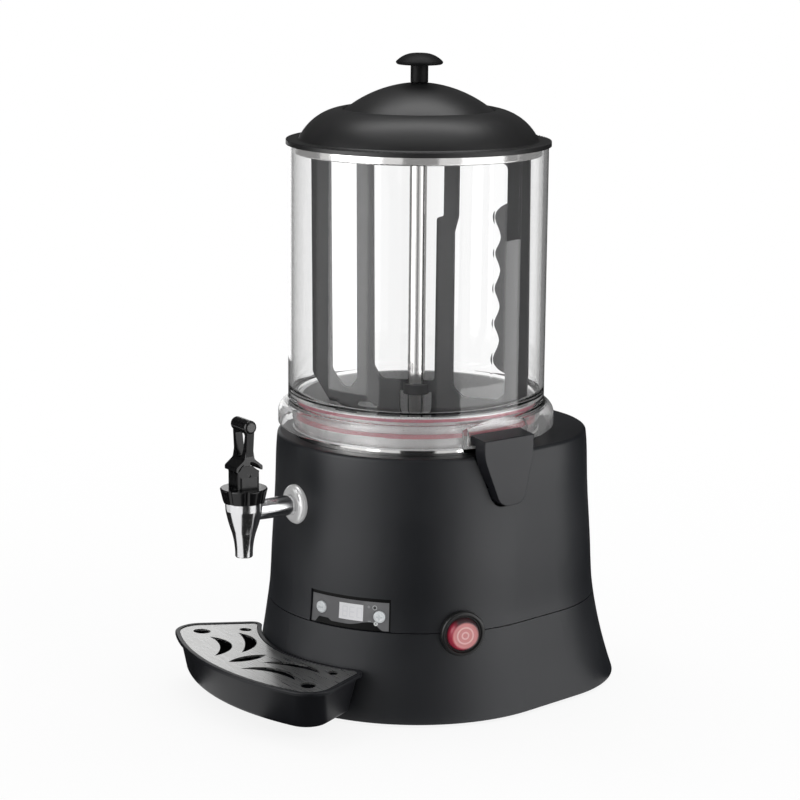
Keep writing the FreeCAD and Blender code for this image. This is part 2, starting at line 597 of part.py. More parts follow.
def motor_pinion():
    half_pitch = 180 / PINION_TEETH
    return gear(PINION_TEETH, half_pitch, 0, CENTRE_DISTANCE, GEAR_Z - 0.5, GEAR_FACE + 1, 3.0)


def motor_rotor():
    """The motor's shaft, with its armature inside the can."""
    y = CENTRE_DISTANCE
    return joined(rod(3.0, 66, GEAR_Z + GEAR_FACE + 2, 0, y), rod(18.0, 74, 104, 0, y))


def stirrer_motor():
    y = CENTRE_DISTANCE
    can = rod(32, 60, PLATE_LOW_Z, 0, y).cut(rod(22, 70, 108, 0, y))
    can = can.cut(rod(3.0 + RUNNING, 62, PLATE_LOW_Z + 1, 0, y))
    fins = [tube(33.5, 31.5, z, z + 2, 0, y) for z in (66, 74, 82, 90, 98, 106)]
    return joined(can, *fins)


def gear_plate(low):
    corners = [(-52, -46, 8), (52, -46, 8), (52, 92, 8), (-52, 92, 8)]
    return rounded_plate(corners, low, low + PLATE_THICK)


def gear_plate_lower():
    plate = gear_plate(PLATE_LOW_Z).cut(rod(8.0, 110, 130))
    plate = plate.cut(rod(6.0, 110, 130, 0, CENTRE_DISTANCE))
    return plate.cut([rod(2.0, 110, 130, x, y) for x, y in SPACER_SPOTS])


def gear_plate_upper():
    plate = gear_plate(PLATE_HIGH_Z).cut(rod(8.0, 130, 145))
    return plate.cut([rod(2.0, 130, 145, x, y) for x, y in SPACER_SPOTS])


def gear_spacers():
    """Four pillars between the plates and up to the bath's floor, with their through bolts."""
    low_top, high_low = PLATE_LOW_Z + PLATE_THICK, PLATE_HIGH_Z
    pillars = []
    for x, y in SPACER_SPOTS:
        bolt = rod(2.0, PLATE_LOW_Z - 1, BATH_FLOOR_Z, x, y)
        head = hexagon(7.0, PLATE_LOW_Z - 3.5, PLATE_LOW_Z, x, y)
        lower = rod(4.0, low_top, high_low, x, y)
        upper = rod(4.0, high_low + PLATE_THICK, BATH_FLOOR_Z, x, y)
        pillars.append(joined(bolt, head, lower, upper))
    return grouped(pillars)


# ---- heating ------------------------------------------------------------------------------------
def heating_element():
    ring = Part.makeTorus(HEATER_RING_R, HEATER_R, vec(0, 0, HEATER_Z))
    legs = [rod(HEATER_R, 132, HEATER_Z, x, y) for x, y in HEATER_LEGS]
    nuts = [hexagon(13, BATH_FLOOR_Z - 4, BATH_FLOOR_Z, x, y) for x, y in HEATER_LEGS]
    tags = [box(x - 3, x + 3, y - 0.4, y + 0.4, 122, 132.5) for x, y in HEATER_LEGS]
    return joined(ring, *legs, *nuts, *tags)


def temperature_probe():
    x, y = PROBE_SPOT
    nut = hexagon(9, BATH_FLOOR_Z - 5, BATH_FLOOR_Z, x, y)
    tip = Part.makeSphere(PROBE_R, vec(x, y, 162))
    return joined(rod(PROBE_R, 138, 162, x, y), nut, tip)


# ---- latches ------------------------------------------------------------------------------------
def latch(side):
    """A moulded hollow clip: its nose holds down the bowl's flange, and it turns on a pin."""
    nose_z = LEDGE_Z + 0.4
    y0, y1 = LATCH_FROM, LATCH_TO
    clip = rounded_plate(latch_outline(), NOSE_TIP, LATCH_OUT)
    hollow = rounded_plate(latch_outline(-LATCH_WALL, -LATCH_WALL), 90, LATCH_OUT - 3.0)
    hollow = hollow.cut(box(-60, 60, nose_z, 300, 80, 160))
    behind = box(-60, 60, 150, nose_z, 90, LATCH_BACK)
    above = box(-60, 60, 0, 40, -20, 40)
    above.rotate(vec(0, 0, 0), X_AXIS, 8.0)
    above.translate(vec(0, 252.0, NOSE_TIP))
    clip = clip.cut([hollow, behind, above])
    edge = [e for e in clip.Edges if e.BoundBox.ZMin > LATCH_OUT - 0.1 and e.BoundBox.YMax < 252]
    clip = clip.makeFillet(0.8, edge)
    eyes = [rod_x(4.6, a, b, LATCH_PIN_Z, LATCH_PIN_OUT) for a, b in ((-24, -16.5), (11.5, 19))]
    inside = rounded_plate(latch_outline(-0.5, -0.5), 100, LATCH_OUT - 1.0)
    clip = clip.fuse([eye.common(inside) for eye in eyes])
    clip = clip.cut(rod_x(LATCH_PIN_R + RUNNING, y0 - 5, y1 + 5, LATCH_PIN_Z, LATCH_PIN_OUT))
    clip = at_latch(clip, 1).cut(rod(FLANGE_R + 0.6, 238.5, nose_z))
    return clip if side > 0 else clip.mirror(vec(0, 0, 0), X_AXIS)


def latch_pin(side):
    pin = rod_x(LATCH_PIN_R, LATCH_FROM + 12.3, LATCH_TO - 6.2, LATCH_PIN_Z, LATCH_PIN_OUT)
    return at_latch(pin, side)


# ---- tap ----------------------------------------------------------------------------------------
def tap_body():
    """Chromed spout, valve chamber and shank in one casting."""
    outer = turned((0, TAP_LOW_Z), (SPOUT_R - 0.5, TAP_LOW_Z), (SPOUT_R, TAP_LOW_Z + 0.8),
                   ((8.6, 153), (10.6, 162)), ((13.6, 171.5), (16.0, 182)), (16.3, TAP_HIGH_Z),
                   (14.5, TAP_HIGH_Z), (14.5, 197), (0, 197))
    outer.translate(vec(0, TAP_Y))
    shank = rod_y(SHANK_R, TAP_Y, -93, 0, SHANK_Z)
    bore = turned((0, 100), (SPOUT_BORE, 100), (SPOUT_BORE, 158), (11, 163.4), (11, 200), (0, 200))
    bore.translate(vec(0, TAP_Y))
    return joined(outer, shank).cut([bore, rod_y(SHANK_BORE, TAP_Y, -90, 0, SHANK_Z)])


def tap_escutcheon():
    """Domed cover ring where the shank enters the housing."""
    wall = front_radius(SHANK_Z)
    ring = turned((SHANK_R + 0.1, -3), (17.5, -3), (17.5, 1.2), ((15.4, 4.2), (11.0, 5.2)),
                  (SHANK_R + 0.1, 5.2))
    return aimed(ring, 0, wall, SHANK_Z).cut(body_block(HOUSING_LEVELS, -0.03))


def tap_washer():
    """Silicone washer between the shank's nut and the pan's wall."""
    washer = rod_y(10.8, -112, -99.4, 0, SHANK_Z).cut(rod_y(SHANK_R, -115, -95, 0, SHANK_Z))
    return washer.common(rod(PAN_R - SHEET - 0.55, 150, 210))


def shank_nut():
    nut = hexagon(24, 0, 5.4).cut(rod(SHANK_R, -1, 7))
    return aimed(nut, 0, 94.0, SHANK_Z)


def tap_collar():
    """Lobed plastic nut that clamps the bonnet on the tap."""
    low, high = TAP_HIGH_Z + 0.3, 202.0
    nut = turned((0, low), (17.9, low), (20.6, high - 1.5), ((20.4, high - 0.4), (19.4, high)),
                 (0, high))
    grooves = []
    for i in range(8):
        angle = math.radians(22.5 + 45 * i)
        groove = Part.makeCylinder(3.4, 30, vec(17.7 * math.cos(angle), 17.7 * math.sin(angle), 180),
                                   vec(0.23 * math.cos(angle), 0.23 * math.sin(angle), 1))
        grooves.append(groove)
    inside = turned((0, low - 1), (14.55, low - 1), (14.55, 199.8), (11.0, 199.8), (11.0, 205), (0, 205))
    nut = nut.cut(grooves + [inside])
    nut.translate(vec(0, TAP_Y))
    return nut


def tap_bonnet():
    """Square turret over the collar.  Its two cheeks rise beside the slot for the lever."""
    half = BONNET_W / 2
    base = joined(rod(14.2, 197.2, 199.4), rod(10.8, 199.0, 203.0))
    square = [(-half, -half, 3.2), (half, -half, 3.2), (half, half, 3.2), (-half, half, 3.2)]
    turret = rounded_plate(square, 202.3, SHOULDER_Z)
    points = [vec(-half, SHOULDER_Z - 1), vec(-half, SHOULDER_Z), vec(-6.3, 220.6), vec(-3.4, HUMP_Z),
              vec(3.4, HUMP_Z), vec(6.3, 220.6), vec(half, SHOULDER_Z), vec(half, SHOULDER_Z - 1)]
    hump = Part.Face(Part.Wire([
        Part.makeLine(points[0], points[1]), Part.Arc(points[1], points[2], points[3]).toShape(),
        Part.makeLine(points[3], points[4]), Part.Arc(points[4], points[5], points[6]).toShape(),
        Part.makeLine(points[6], points[7]), Part.makeLine(points[7], points[0])]))
    hump = hump.extrude(vec(0, 0, 2 * half))
    hump.translate(vec(0, 0, -half))
    hump.transformShape(FreeCAD.Matrix(0, 0, 1, 0, 1, 0, 0, 0, 0, 1, 0, 0, 0, 0, 0, 1))
    bonnet = joined(base, turret, hump)
    for side in (-1, 1):
        slope = box(0, 20, -40, 40, -5, 40)
        slope.rotate(vec(0, 0, 0), Y_AXIS, -24)
        slope.translate(vec(half, 0, 212.4))
        bonnet = bonnet.cut(slope if side > 0 else slope.mirror(vec(0, 0, 0), X_AXIS))
    cavity = box(-6.3, 6.3, -8.6, 9.1, 203.4, 240)
    slot = box(-6.3, 6.3, -12, 9.1, 216.0, 240)
    pivot = rod_x(PIVOT_R, -20, 20, 0, PIVOT_Z)
    bonnet = bonnet.cut([cavity, slot, pivot, rod(2.6 + RUNNING, 190, 210)])
    bonnet.translate(vec(0, TAP_Y))
    return bonnet


def lever_pin():
    return rod_x(PIVOT_R, -9.2, 9.2, TAP_Y, PIVOT_Z)


def tap_lever():
    """Loop handle on a forked foot, whose crank bar lifts the valve stem."""
    cheeks = []
    for side in (-1, 1):
        x0, x1 = sorted((side * 2.6, side * 5.8))
        cheek = rod_x(CHEEK_R, x0, x1, 0, PIVOT_Z).cut(rod_x(PIVOT_R + RUNNING, -20, 20, 0, PIVOT_Z))
        stalk = box(x0, x1, -3.6, 3.6, PIVOT_Z + 5, PIVOT_Z + 9)
        cheeks.append(cheek.fuse(stalk))
    crank_bar = rod_x(1.2, -5.8, 5.8, CRANK, PIVOT_Z)
    neck = box(-5.8, 5.8, -3.2, 3.2, PIVOT_Z + 6.4, PIVOT_Z + 14)
    flare = [(13.0, 218.4, 0.4), (13.0, 222.0, 2.0), (5.0, 228.4, 4.0), (3.4, 238.0, 3.0)]
    mirrored = [(-y, z, radius) for y, z, radius in reversed(flare)]
    saddle = Part.Face(rounded_wire(flare + mirrored))
    saddle = saddle.extrude(vec(0, 0, 20.4))
    saddle.translate(vec(0, 0, -10.2))
    saddle.transformShape(FreeCAD.Matrix(0, 0, 1, 0, 1, 0, 0, 0, 0, 1, 0, 0, 0, 0, 0, 1))
    saddle = saddle.cut(rod_x(CHEEK_R + 4.2, -20, 20, 0, PIVOT_Z))
    outline = [(-9.8, 226.6, 1.5), (9.8, 226.6, 1.5), (12.6, 257, 2), (-12.6, 257, 2)]
    window = [(-3.7, 229.4, 1.5), (3.7, 229.4, 1.5), (8.3, 251.5, 2.5), (-8.3, 251.5, 2.5)]
    loop, opening = rounded_plate(outline, -3.5, 3.5), rounded_plate(window, -8, 8)
    upright = FreeCAD.Matrix(1, 0, 0, 0, 0, 0, -1, 0, 0, 1, 0, 0, 0, 0, 0, 1)
    loop.transformShape(upright)
    opening.transformShape(upright)
    loop = loop.fuse(saddle).cut(opening)
    grip = turned((0, -13.2), (3.4, -13.2), ((GRIP_R - 0.6, -12.4), (GRIP_R, -10.6)), (GRIP_R, 10.6),
                  ((GRIP_R - 0.6, 12.4), (3.4, 13.2)), (0, 13.2))
    grip.rotate(vec(0, 0, 0), Y_AXIS, 90)
    grip.translate(vec(0, 0, LEVER_TOP_Z - GRIP_R))
    pin_hole = rod_x(PIVOT_R + RUNNING, -20, 20, 0, PIVOT_Z)
    lever = joined(*cheeks, neck, loop, grip).cut(pin_hole).fuse(crank_bar)
    lever.translate(vec(0, TAP_Y))
    return lever.removeSplitter()


def valve_stem():
    """Stem with a hook that sits over the lever's crank bar."""
    hook = joined(box(-2, 2, -2.6, 8.7, 204.2, 206.8), box(-2, 2, 6.8, 8.7, 204.2, 218.3),
                  box(-2, 2, 2.6, 8.7, PIVOT_Z + 1.6, 218.3))
    stem = joined(rod(2.6, 160, 204.6), rod(4.0, 172.0, 172.6), hook)
    stem.translate(vec(0, TAP_Y))
    return stem


def valve_cup():
    """Silicone cup that closes the spout."""
    cup = turned((0, 158.5), (5.6, 158.5), (9.4, 162.3), (9.4, 169.0), ((8.6, 171.4), (6.6, 172.0)),
                 (0, 172.0)).cut(rod(2.6, 160, 175))
    cup.translate(vec(0, TAP_Y))
    return cup


def valve_spring():
    """Closing spring, as its separate turns, in the gap over the cup."""
    turns = [Part.makeTorus(5.6, 0.8, vec(0, TAP_Y, 172.9 + 3.3 * i)) for i in range(8)]
    return grouped(turns)


# ---- drip tray ----------------------------------------------------------------------------------
def tray_corner(z, tight, radius, centre_y, reach, bulge):
    """Tangent fillet of a side edge and an arc: its points on the side, midway and on the arc.
    bulge is -1 for the front arc, which the fillet lies within, and 1 for the hollow back."""
    along = vec(*TRAY_SIDE_TO) - vec(*TRAY_SIDE_FROM)
    along.normalize()
    inward = vec(along.y, -along.x)
    arc_centre = vec(0, centre_y)
    start = vec(*TRAY_SIDE_FROM) + inward * (tight + radius) - arc_centre
    distance = reach + bulge * radius
    across = start.dot(along)
    travel = -across + math.sqrt(across ** 2 - start.dot(start) + distance ** 2)
    offset = start + along * travel
    centre = offset + arc_centre
    on_side = centre - inward * radius
    on_arc = arc_centre + offset * (reach / distance)
    middle = (on_side - centre) + (on_arc - centre)
    middle.normalize()
    lift = vec(0, 0, z)
    return on_side + lift, centre + middle * radius + lift, on_arc + lift


def tray_section(z, inset, draft):
    """The tray's plan at a height: front arc, straight sides, and a back that hugs the body."""
    drop = TRAY_TOP - z
    tight = inset + draft * drop
    front, centre_y = TRAY_FRONT_R - tight, TRAY_FRONT_R - FRONT_REACH
    hug = TRAY_BODY_R + inset + 0.16 * drop
    outer = tray_corner(z, tight, TRAY_CORNER_R - inset, centre_y, front, -1)
    inner = tray_corner(z, tight, TRAY_INNER_R - inset, 0, hug, 1)

    def flip(point):
        return vec(-point.x, point.y, point.z)

    nose, hollow = vec(0, centre_y - front, z), vec(0, -hug, z)
    return Part.Wire([
        Part.Arc(flip(outer[2]), nose, outer[2]).toShape(),
        Part.Arc(outer[2], outer[1], outer[0]).toShape(),
        Part.makeLine(outer[0], inner[0]),
        Part.Arc(inner[0], inner[1], inner[2]).toShape(),
        Part.Arc(inner[2], hollow, flip(inner[2])).toShape(),
        Part.Arc(flip(inner[2]), flip(inner[1]), flip(inner[0])).toShape(),
        Part.makeLine(flip(inner[0]), flip(outer[0])),
        Part.Arc(flip(outer[0]), flip(outer[1]), flip(outer[2])).toShape()])


def tray_block(low, high, inset, draft=0.0):
    sections = [tray_section(z, inset, draft) for z in (low, high)]
    return Part.makeLoft(sections, True, True)


def tongue_space(side, grow=0.0):
    x0, x1 = sorted((side * (36.0 - grow), side * (54.0 + grow)))
    return box(x0, x1, -142, -120 + grow, 33.0 - grow, 37.0 + grow)


def drip_tray():
    """Deep tub with a flat rim, and two tongues that slide into the skirt's slots."""
    rim_low = TRAY_TOP - 3.0
    overhang, rim_width, draft = 3.4, 4.0, 0.2
    tub = tray_block(TRAY_LOW, rim_low + 0.2, overhang, draft)
    floor_edges = [e for e in tub.Edges if e.BoundBox.ZMax < TRAY_LOW + 0.1]
    tub = tub.makeFillet(4.0, floor_edges)
    hollow = tray_block(TRAY_LOW + TRAY_SKIN, rim_low + 0.5, overhang + TRAY_SKIN, draft)
    rim = tray_block(rim_low, TRAY_TOP, 0.0)
    upper = [e for e in rim.Edges if e.BoundBox.ZMin > TRAY_TOP - 0.1]
    rim = rim.makeFillet(0.9, upper)
    rim = rim.cut(tray_block(rim_low + 0.2, TRAY_TOP + 1, rim_width))
    tray = joined(tub, rim).cut(hollow)
    tongues = [tongue_space(side).common(rod(TRAY_BODY_R + 6.5, 20, 50)) for side in (-1, 1)]
    return joined(tray, *tongues)


def crescent(side, tip_a, outer, tip_b, inner):
    """A curved slot between two arcs that meet at blunted tips."""
    points = [vec(side * x, y) for x, y in (tip_a, outer, tip_b, inner)]
    edges = [Part.Arc(points[0], points[1], points[2]).toShape(),
             Part.Arc(points[2], points[3], points[0]).toShape()]
    return Part.Face(Part.Wire(edges)).extrude(vec(0, 0, 20))


def drip_grid():
    low, high = TRAY_TOP - 2.7, TRAY_TOP - 0.7
    plate = tray_block(low, high, 4.4)
    cuts = []
    for side in (-1, 1):
        cuts += [crescent(side, (73.5, -173.5), (36, -171.5), (22, -197.5), (43, -180.0)),
                 crescent(side, (70, -145.5), (29, -151.0), (17.5, -172.5), (39, -156.5))]
        for x, y, long_r, short_r in ((91.5, -171, 8.2, 6.8), (74.5, -135, 5.8, 4.6)):
            oval = Part.Ellipse(vec(0, 0), long_r, short_r).toShape()
            oval = Part.Face(Part.Wire([oval])).extrude(vec(0, 0, 20))
            oval.rotate(vec(0, 0, 0), Z_AXIS, side * -28)
            oval.translate(vec(side * x, y))
            cuts.append(oval)
    leaf = crescent(1, (0, -196), (6.6, -177), (0, -157.5), (-6.6, -177))
    for cut in cuts + [leaf]:
        cut.translate(vec(0, 0, low - 5))
        plate = plate.cut(cut)
    return plate


# ---- controls -----------------------------------------------------------------------------------
def power_bezel():
    """Round collar of the switch, with a stepped mouth."""
    bearing, height = POWER_AT
    wall = front_radius(height)
    neck = turned((15.1, -12), (16.3, -12), (16.3, 0), (15.1, 0))
    flange = turned((15.1, -6), (POWER_BEZEL_R, -6), (POWER_BEZEL_R, 1.8),
                    ((POWER_BEZEL_R - 0.6, 3.4), (POWER_BEZEL_R - 2.2, 4.0)), (17.0, 4.0),
                    (15.9, 2.6), (15.1, 2.6))
    flange = aimed(flange, bearing, wall, height)
    flange = flange.cut([body_block(HOUSING_LEVELS, -0.03), body_block(SKIRT_LEVELS, -0.03),
                         body_between(SEAM_Z - 2, SEAM_Z + 2, 0.1)])
    return joined(flange, aimed(neck, bearing, wall, height))


def power_button():
    """Translucent red cap with a raised face ring."""
    bearing, height = POWER_AT
    cap = turned((0, -6), (POWER_CAP_R, -6), (POWER_CAP_R, 1.0), ((14.0, 4.2), (12.6, 7.4)),
                 ((12.3, 8.1), (11.6, 8.4)), (10.4, 8.4), (9.8, 8.0), (0, 8.0))
    return aimed(cap, bearing, front_radius(height), height)


def power_switch():
    """Switch block behind the button, held on the bezel's neck."""
    bearing, height = POWER_AT
    block = turned((0, -30), (13.5, -30), (13.5, -14), (16.3, -14), (16.3, -12), (15.0, -12),
                   (15.0, -9.5), (0, -9.5))
    blades = [box(x - 0.4, x + 0.4, -3, 3, -38, -29.9) for x in (-6, 0, 6)]
    return aimed(joined(block, *blades), bearing, front_radius(height), height)


def fascia_layer(inset, thick, bearing_from, bearing_to, low, high):
    """A strip that follows the body's side, a little below its surface."""
    shell = body_between(SEAM_Z - 10, 130, inset).cut(body_between(SEAM_Z - 11, 131, inset + thick))
    return shell.common(sector(bearing_from, bearing_to, low, high))


def at_fascia(shape, spot):
    bearing, height = spot
    return aimed(shape, bearing, front_radius(height) - FASCIA_DROP, height)


def panel_fascia():
    low, high = SEAM_Z + 0.5, PANEL_HIGH - 0.15
    plate = fascia_layer(FASCIA_DROP, FASCIA_THICK, PANEL_FROM + 0.1, PANEL_TO - 0.1, low, high)
    plate = plate.cut([at_fascia(rod(KEY_R + 0.4, -10, 5), spot) for spot in (MINUS_AT, PLUS_AT)])
    plate = plate.cut([at_fascia(rod(LAMP_R, -10, 5), spot) for spot in LAMPS_AT])
    plate = plate.cut(sector(DISPLAY_FROM, DISPLAY_TO, DISPLAY_LOW, DISPLAY_HIGH))
    frame = fascia_layer(WALL + 0.1, 1.1, PANEL_FROM - 1.5, PANEL_TO + 1.5, low, high + 3.5)
    frame = frame.cut(sector(PANEL_FROM + 1.5, PANEL_TO - 1.5, low + 4, high - 2.5))
    pegs = [at_fascia(rod(2.0, -10.0, -1.0), spot) for spot in BOARD_PEGS]
    return joined(plate, frame, *pegs)


def display_window():
    return fascia_layer(FASCIA_DROP - 0.3, FASCIA_THICK, DISPLAY_FROM, DISPLAY_TO,
                        DISPLAY_LOW, DISPLAY_HIGH)


def key(spot):
    cap = turned((0, -6), (KEY_R + 1.3, -6), (KEY_R + 1.3, -4.8), (KEY_R, -4.8), (KEY_R, 0.7),
                 ((4.4, 1.5), (2.8, 1.7)), (0, 1.7))
    return at_fascia(cap, spot)


def indicator_lamps():
    lamp = turned((0, -5), (LAMP_R, -5), (LAMP_R, 0.2), (0.9, 0.5), (0, 0.5))
    return grouped([at_fascia(lamp, spot) for spot in LAMPS_AT])


def control_board():
    """Circuit board on the fascia's pegs, with its larger components."""
    bearing = (PANEL_FROM + PANEL_TO) / 2
    board = rounded_plate([(-33, -8, 2), (33, -8, 2), (33, 13, 2), (-33, 13, 2)], -16.0, -14.4)
    chips = [box(-10, 2, -6, 6, -18.2, -16.0), box(8, 20, -4, 8, -26, -16.0),
             rod(5, -28, -16.0, -20, 4)]
    shape = aimed(joined(board, *chips), bearing, front_radius(95), 95)
    plungers = [at_fascia(rod(2.4, -13.5, -7.2), spot) for spot in (MINUS_AT, PLUS_AT)]
    return joined(shape, *plungers)


# ---- cord entry and terminals -------------------------------------------------------------------
def cord_gland():
    """Gland for the supply cord, clamped through the back of the skirt."""
    wall = back_line(GLAND_Z)
    hex_body = hexagon(20, -4, 5)
    dome = turned((0, 5), (9.6, 5), (9.6, BACK_REACH - wall - 4), ((8.6, BACK_REACH - wall - 1.2),
                  (6.4, BACK_REACH - wall)), (0, BACK_REACH - wall))
    outer = back_facing(joined(hex_body, dome), wall).cut(body_between(15, 65))
    thread = rod_y(GLAND_R, wall - 14, wall + 2, 0, GLAND_Z)
    return joined(outer, thread).cut(rod_y(GLAND_BORE, 120, 220, 0, GLAND_Z))


def back_facing(shape, reach):
    return aimed(shape, 180, reach, GLAND_Z)


def gland_nut():
    nut = hexagon(20, 0, 4.5).cut(rod(GLAND_R, -1, 6))
    return back_facing(nut, back_line(GLAND_Z) - GLAND_SEAT - 4.7)


def terminal_block():
    base = box(-22, 22, 108, 126, PLATE_Z + BASE_PLATE_THICK, 14)
    cells = [box(x - 5.5, x + 5.5, 110, 124, 14, 21) for x in (-14, 0, 14)]
    holes = [rod(2.2, 16, 22, x, 117) for x in (-14, 0, 14)]
    return joined(base, *cells).cut(holes)


# ---- every sub-part, by node name ---------------------------------------------------------------
def all_parts():
    parts = {
        "upper_housing": upper_housing(), "base_skirt": base_skirt(), "base_plate": base_plate(),
        "base_screws": base_screws(), "water_bath": water_bath(), "product_pan": product_pan(),
        "pan_rim_gasket": pan_rim_gasket(), "pan_seal_ring": pan_seal_ring(),
        "bowl_cylinder": bowl_cylinder(), "lid_shell": lid_shell(), "lid_ring": lid_ring(),
        "lid_knob": lid_knob(), "lid_knob_screw": lid_knob_screw(),
        "stirring_paddle": stirring_paddle(), "drive_shaft": drive_shaft(),
        "chimney_bush": bush(CHIMNEY_BORE, CHIMNEY_TOP - 12, CHIMNEY_TOP),
        "shaft_bush_upper": bush(8.0, 134.3, 141.0, 10.0, 134.3, PLATE_HIGH_Z),
        "shaft_bush_lower": bush(8.0, 116.0, 124.0, 10.0, PLATE_LOW_Z + PLATE_THICK, 124.0),
        "drive_gear": drive_gear(), "motor_pinion": motor_pinion(), "motor_rotor": motor_rotor(),
        "stirrer_motor": stirrer_motor(), "gear_plate_lower": gear_plate_lower(),
        "gear_plate_upper": gear_plate_upper(), "gear_spacers": gear_spacers(),
        "heating_element": heating_element(), "temperature_probe": temperature_probe(),
        "tap_body": tap_body(), "tap_escutcheon": tap_escutcheon(), "tap_washer": tap_washer(),
        "shank_nut": shank_nut(), "tap_collar": tap_collar(), "tap_bonnet": tap_bonnet(),
        "lever_pin": lever_pin(), "tap_lever": tap_lever(), "valve_stem": valve_stem(),
        "valve_cup": valve_cup(), "valve_spring": valve_spring(),
        "drip_tray": drip_tray(), "drip_grid": drip_grid(),
        "power_bezel": power_bezel(), "power_button": power_button(), "power_switch": power_switch(),
        "panel_fascia": panel_fascia(), "display_window": display_window(),
        "minus_key": key(MINUS_AT), "plus_key": key(PLUS_AT), "indicator_lamps": indicator_lamps(),
        "control_board": control_board(), "cord_gland": cord_gland(), "gland_nut": gland_nut(),
        "terminal_block": terminal_block()}
    for name, (x, y) in FEET.items():
        parts[name] = foot(x, y)
    for name, side in (("left", -1), ("right", 1)):
        parts["latch_" + name] = latch(side)
        parts["latch_pin_" + name] = latch_pin(side)
    return parts


os.makedirs("parts", exist_ok=True)
for node, shape in all_parts().items():
    shape.translate(vec(0, AXIS_Y))
    shape.exportStep("parts/" + node + ".step")
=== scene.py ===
import math

import bpy
from mathutils import Matrix, Vector


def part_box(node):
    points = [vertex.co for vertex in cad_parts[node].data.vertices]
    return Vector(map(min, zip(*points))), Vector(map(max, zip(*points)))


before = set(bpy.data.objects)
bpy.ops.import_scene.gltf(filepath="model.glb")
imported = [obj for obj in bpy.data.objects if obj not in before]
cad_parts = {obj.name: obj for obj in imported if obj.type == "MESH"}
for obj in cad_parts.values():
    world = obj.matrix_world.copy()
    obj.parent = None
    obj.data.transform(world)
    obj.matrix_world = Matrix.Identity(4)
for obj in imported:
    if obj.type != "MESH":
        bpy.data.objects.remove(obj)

scene = bpy.context.scene
scene.view_settings.view_transform = "Standard"
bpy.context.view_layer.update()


# ---- The view -----------------------------------------------------------------------------------
# A long lens, a little above the machine and well round to its right, so that the tap and the
# tray stand to the left and the power button faces the viewer.
VIEW_BEARING = math.radians(55.5)
VIEW_DISTANCE, VIEW_HEIGHT = 2.1788, 0.716
VIEW_PITCH, VIEW_YAW, VIEW_ROLL = 0.2066, -0.0066, 0.0092
LENS = 111.12

bowl_low, bowl_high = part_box("bowl_cylinder")
axis = Vector(((bowl_low.x + bowl_high.x) / 2, (bowl_low.y + bowl_high.y) / 2, 0))
camera = bpy.data.objects.new("camera", bpy.data.cameras.new("camera"))
scene.collection.objects.link(camera)
camera.data.lens = LENS
camera.data.clip_end = 20
camera.location = axis + Vector((VIEW_DISTANCE * math.sin(VIEW_BEARING),
                                 -VIEW_DISTANCE * math.cos(VIEW_BEARING), VIEW_HEIGHT))
facing = (Matrix.Rotation(VIEW_BEARING - VIEW_YAW, 3, "Z")
          @ Matrix.Rotation(math.pi / 2 - VIEW_PITCH, 3, "X") @ Matrix.Rotation(VIEW_ROLL, 3, "Z"))
camera.rotation_euler = facing.to_euler()
scene.camera = camera


# ---- Base skirt and upper housing ---------------------------------------------------------------
# The two moulded shells of the body: black plastic with a very fine spark-eroded grain, which
# turns hard reflections into broad soft sheens. The housing nests on the skirt's lip.
class Shade:
    """One socket of a finish, on which shader maths is written as plain expressions."""

    def __init__(self, finish, socket):
        self.finish, self.socket = finish, socket

    def maths(self, operation, *values):
        return self.finish.node("ShaderNodeMath", {"operation": operation}, dict(enumerate(values)))

    def __add__(self, other):
        return self.maths("ADD", self, other)

    def __sub__(self, other):
        return self.maths("SUBTRACT", self, other)

    def __rsub__(self, other):
        return self.maths("SUBTRACT", other, self)

    def __mul__(self, other):
        return self.maths("MULTIPLY", self, other)

    def __pow__(self, other):
        return self.maths("POWER", self, other)

    def __lt__(self, other):
        return self.maths("LESS_THAN", self, other)

    def __gt__(self, other):
        return self.maths("GREATER_THAN", self, other)

    def __abs__(self):
        return self.maths("ABSOLUTE", self)

    def __or__(self, other):
        return self.maths("MAXIMUM", self, other)

    __radd__, __rmul__ = __add__, __mul__

    def ramp(self, low, high, to_low=0.0, to_high=1.0):
        """Run smoothly from to_low to to_high while the value goes from low to high."""
        return self.finish.node("ShaderNodeMapRange", {"interpolation_type": "SMOOTHSTEP"},
                                {0: self, 1: low, 2: high, 3: to_low, 4: to_high})


class Nodes:
    """A tree of shader nodes, to which nodes are added one at a time."""

    def __init__(self, tree):
        self.tree = tree

    def node(self, kind, settings=None, sockets=None, output=0):
        """Add a node: its settings first, then its sockets, by name or number."""
        node = self.tree.nodes.new(kind)
        for name, value in (settings or {}).items():
            setattr(node, name, value)
        for key, value in (sockets or {}).items():
            self.feed(node.inputs[key], value)
        return Shade(self, node.outputs[output])

    def feed(self, socket, value):
        if isinstance(value, Shade):
            self.tree.links.new(value.socket, socket)
        elif socket.type == "RGBA":
            socket.default_value = (*value, 1)
        else:
            socket.default_value = value


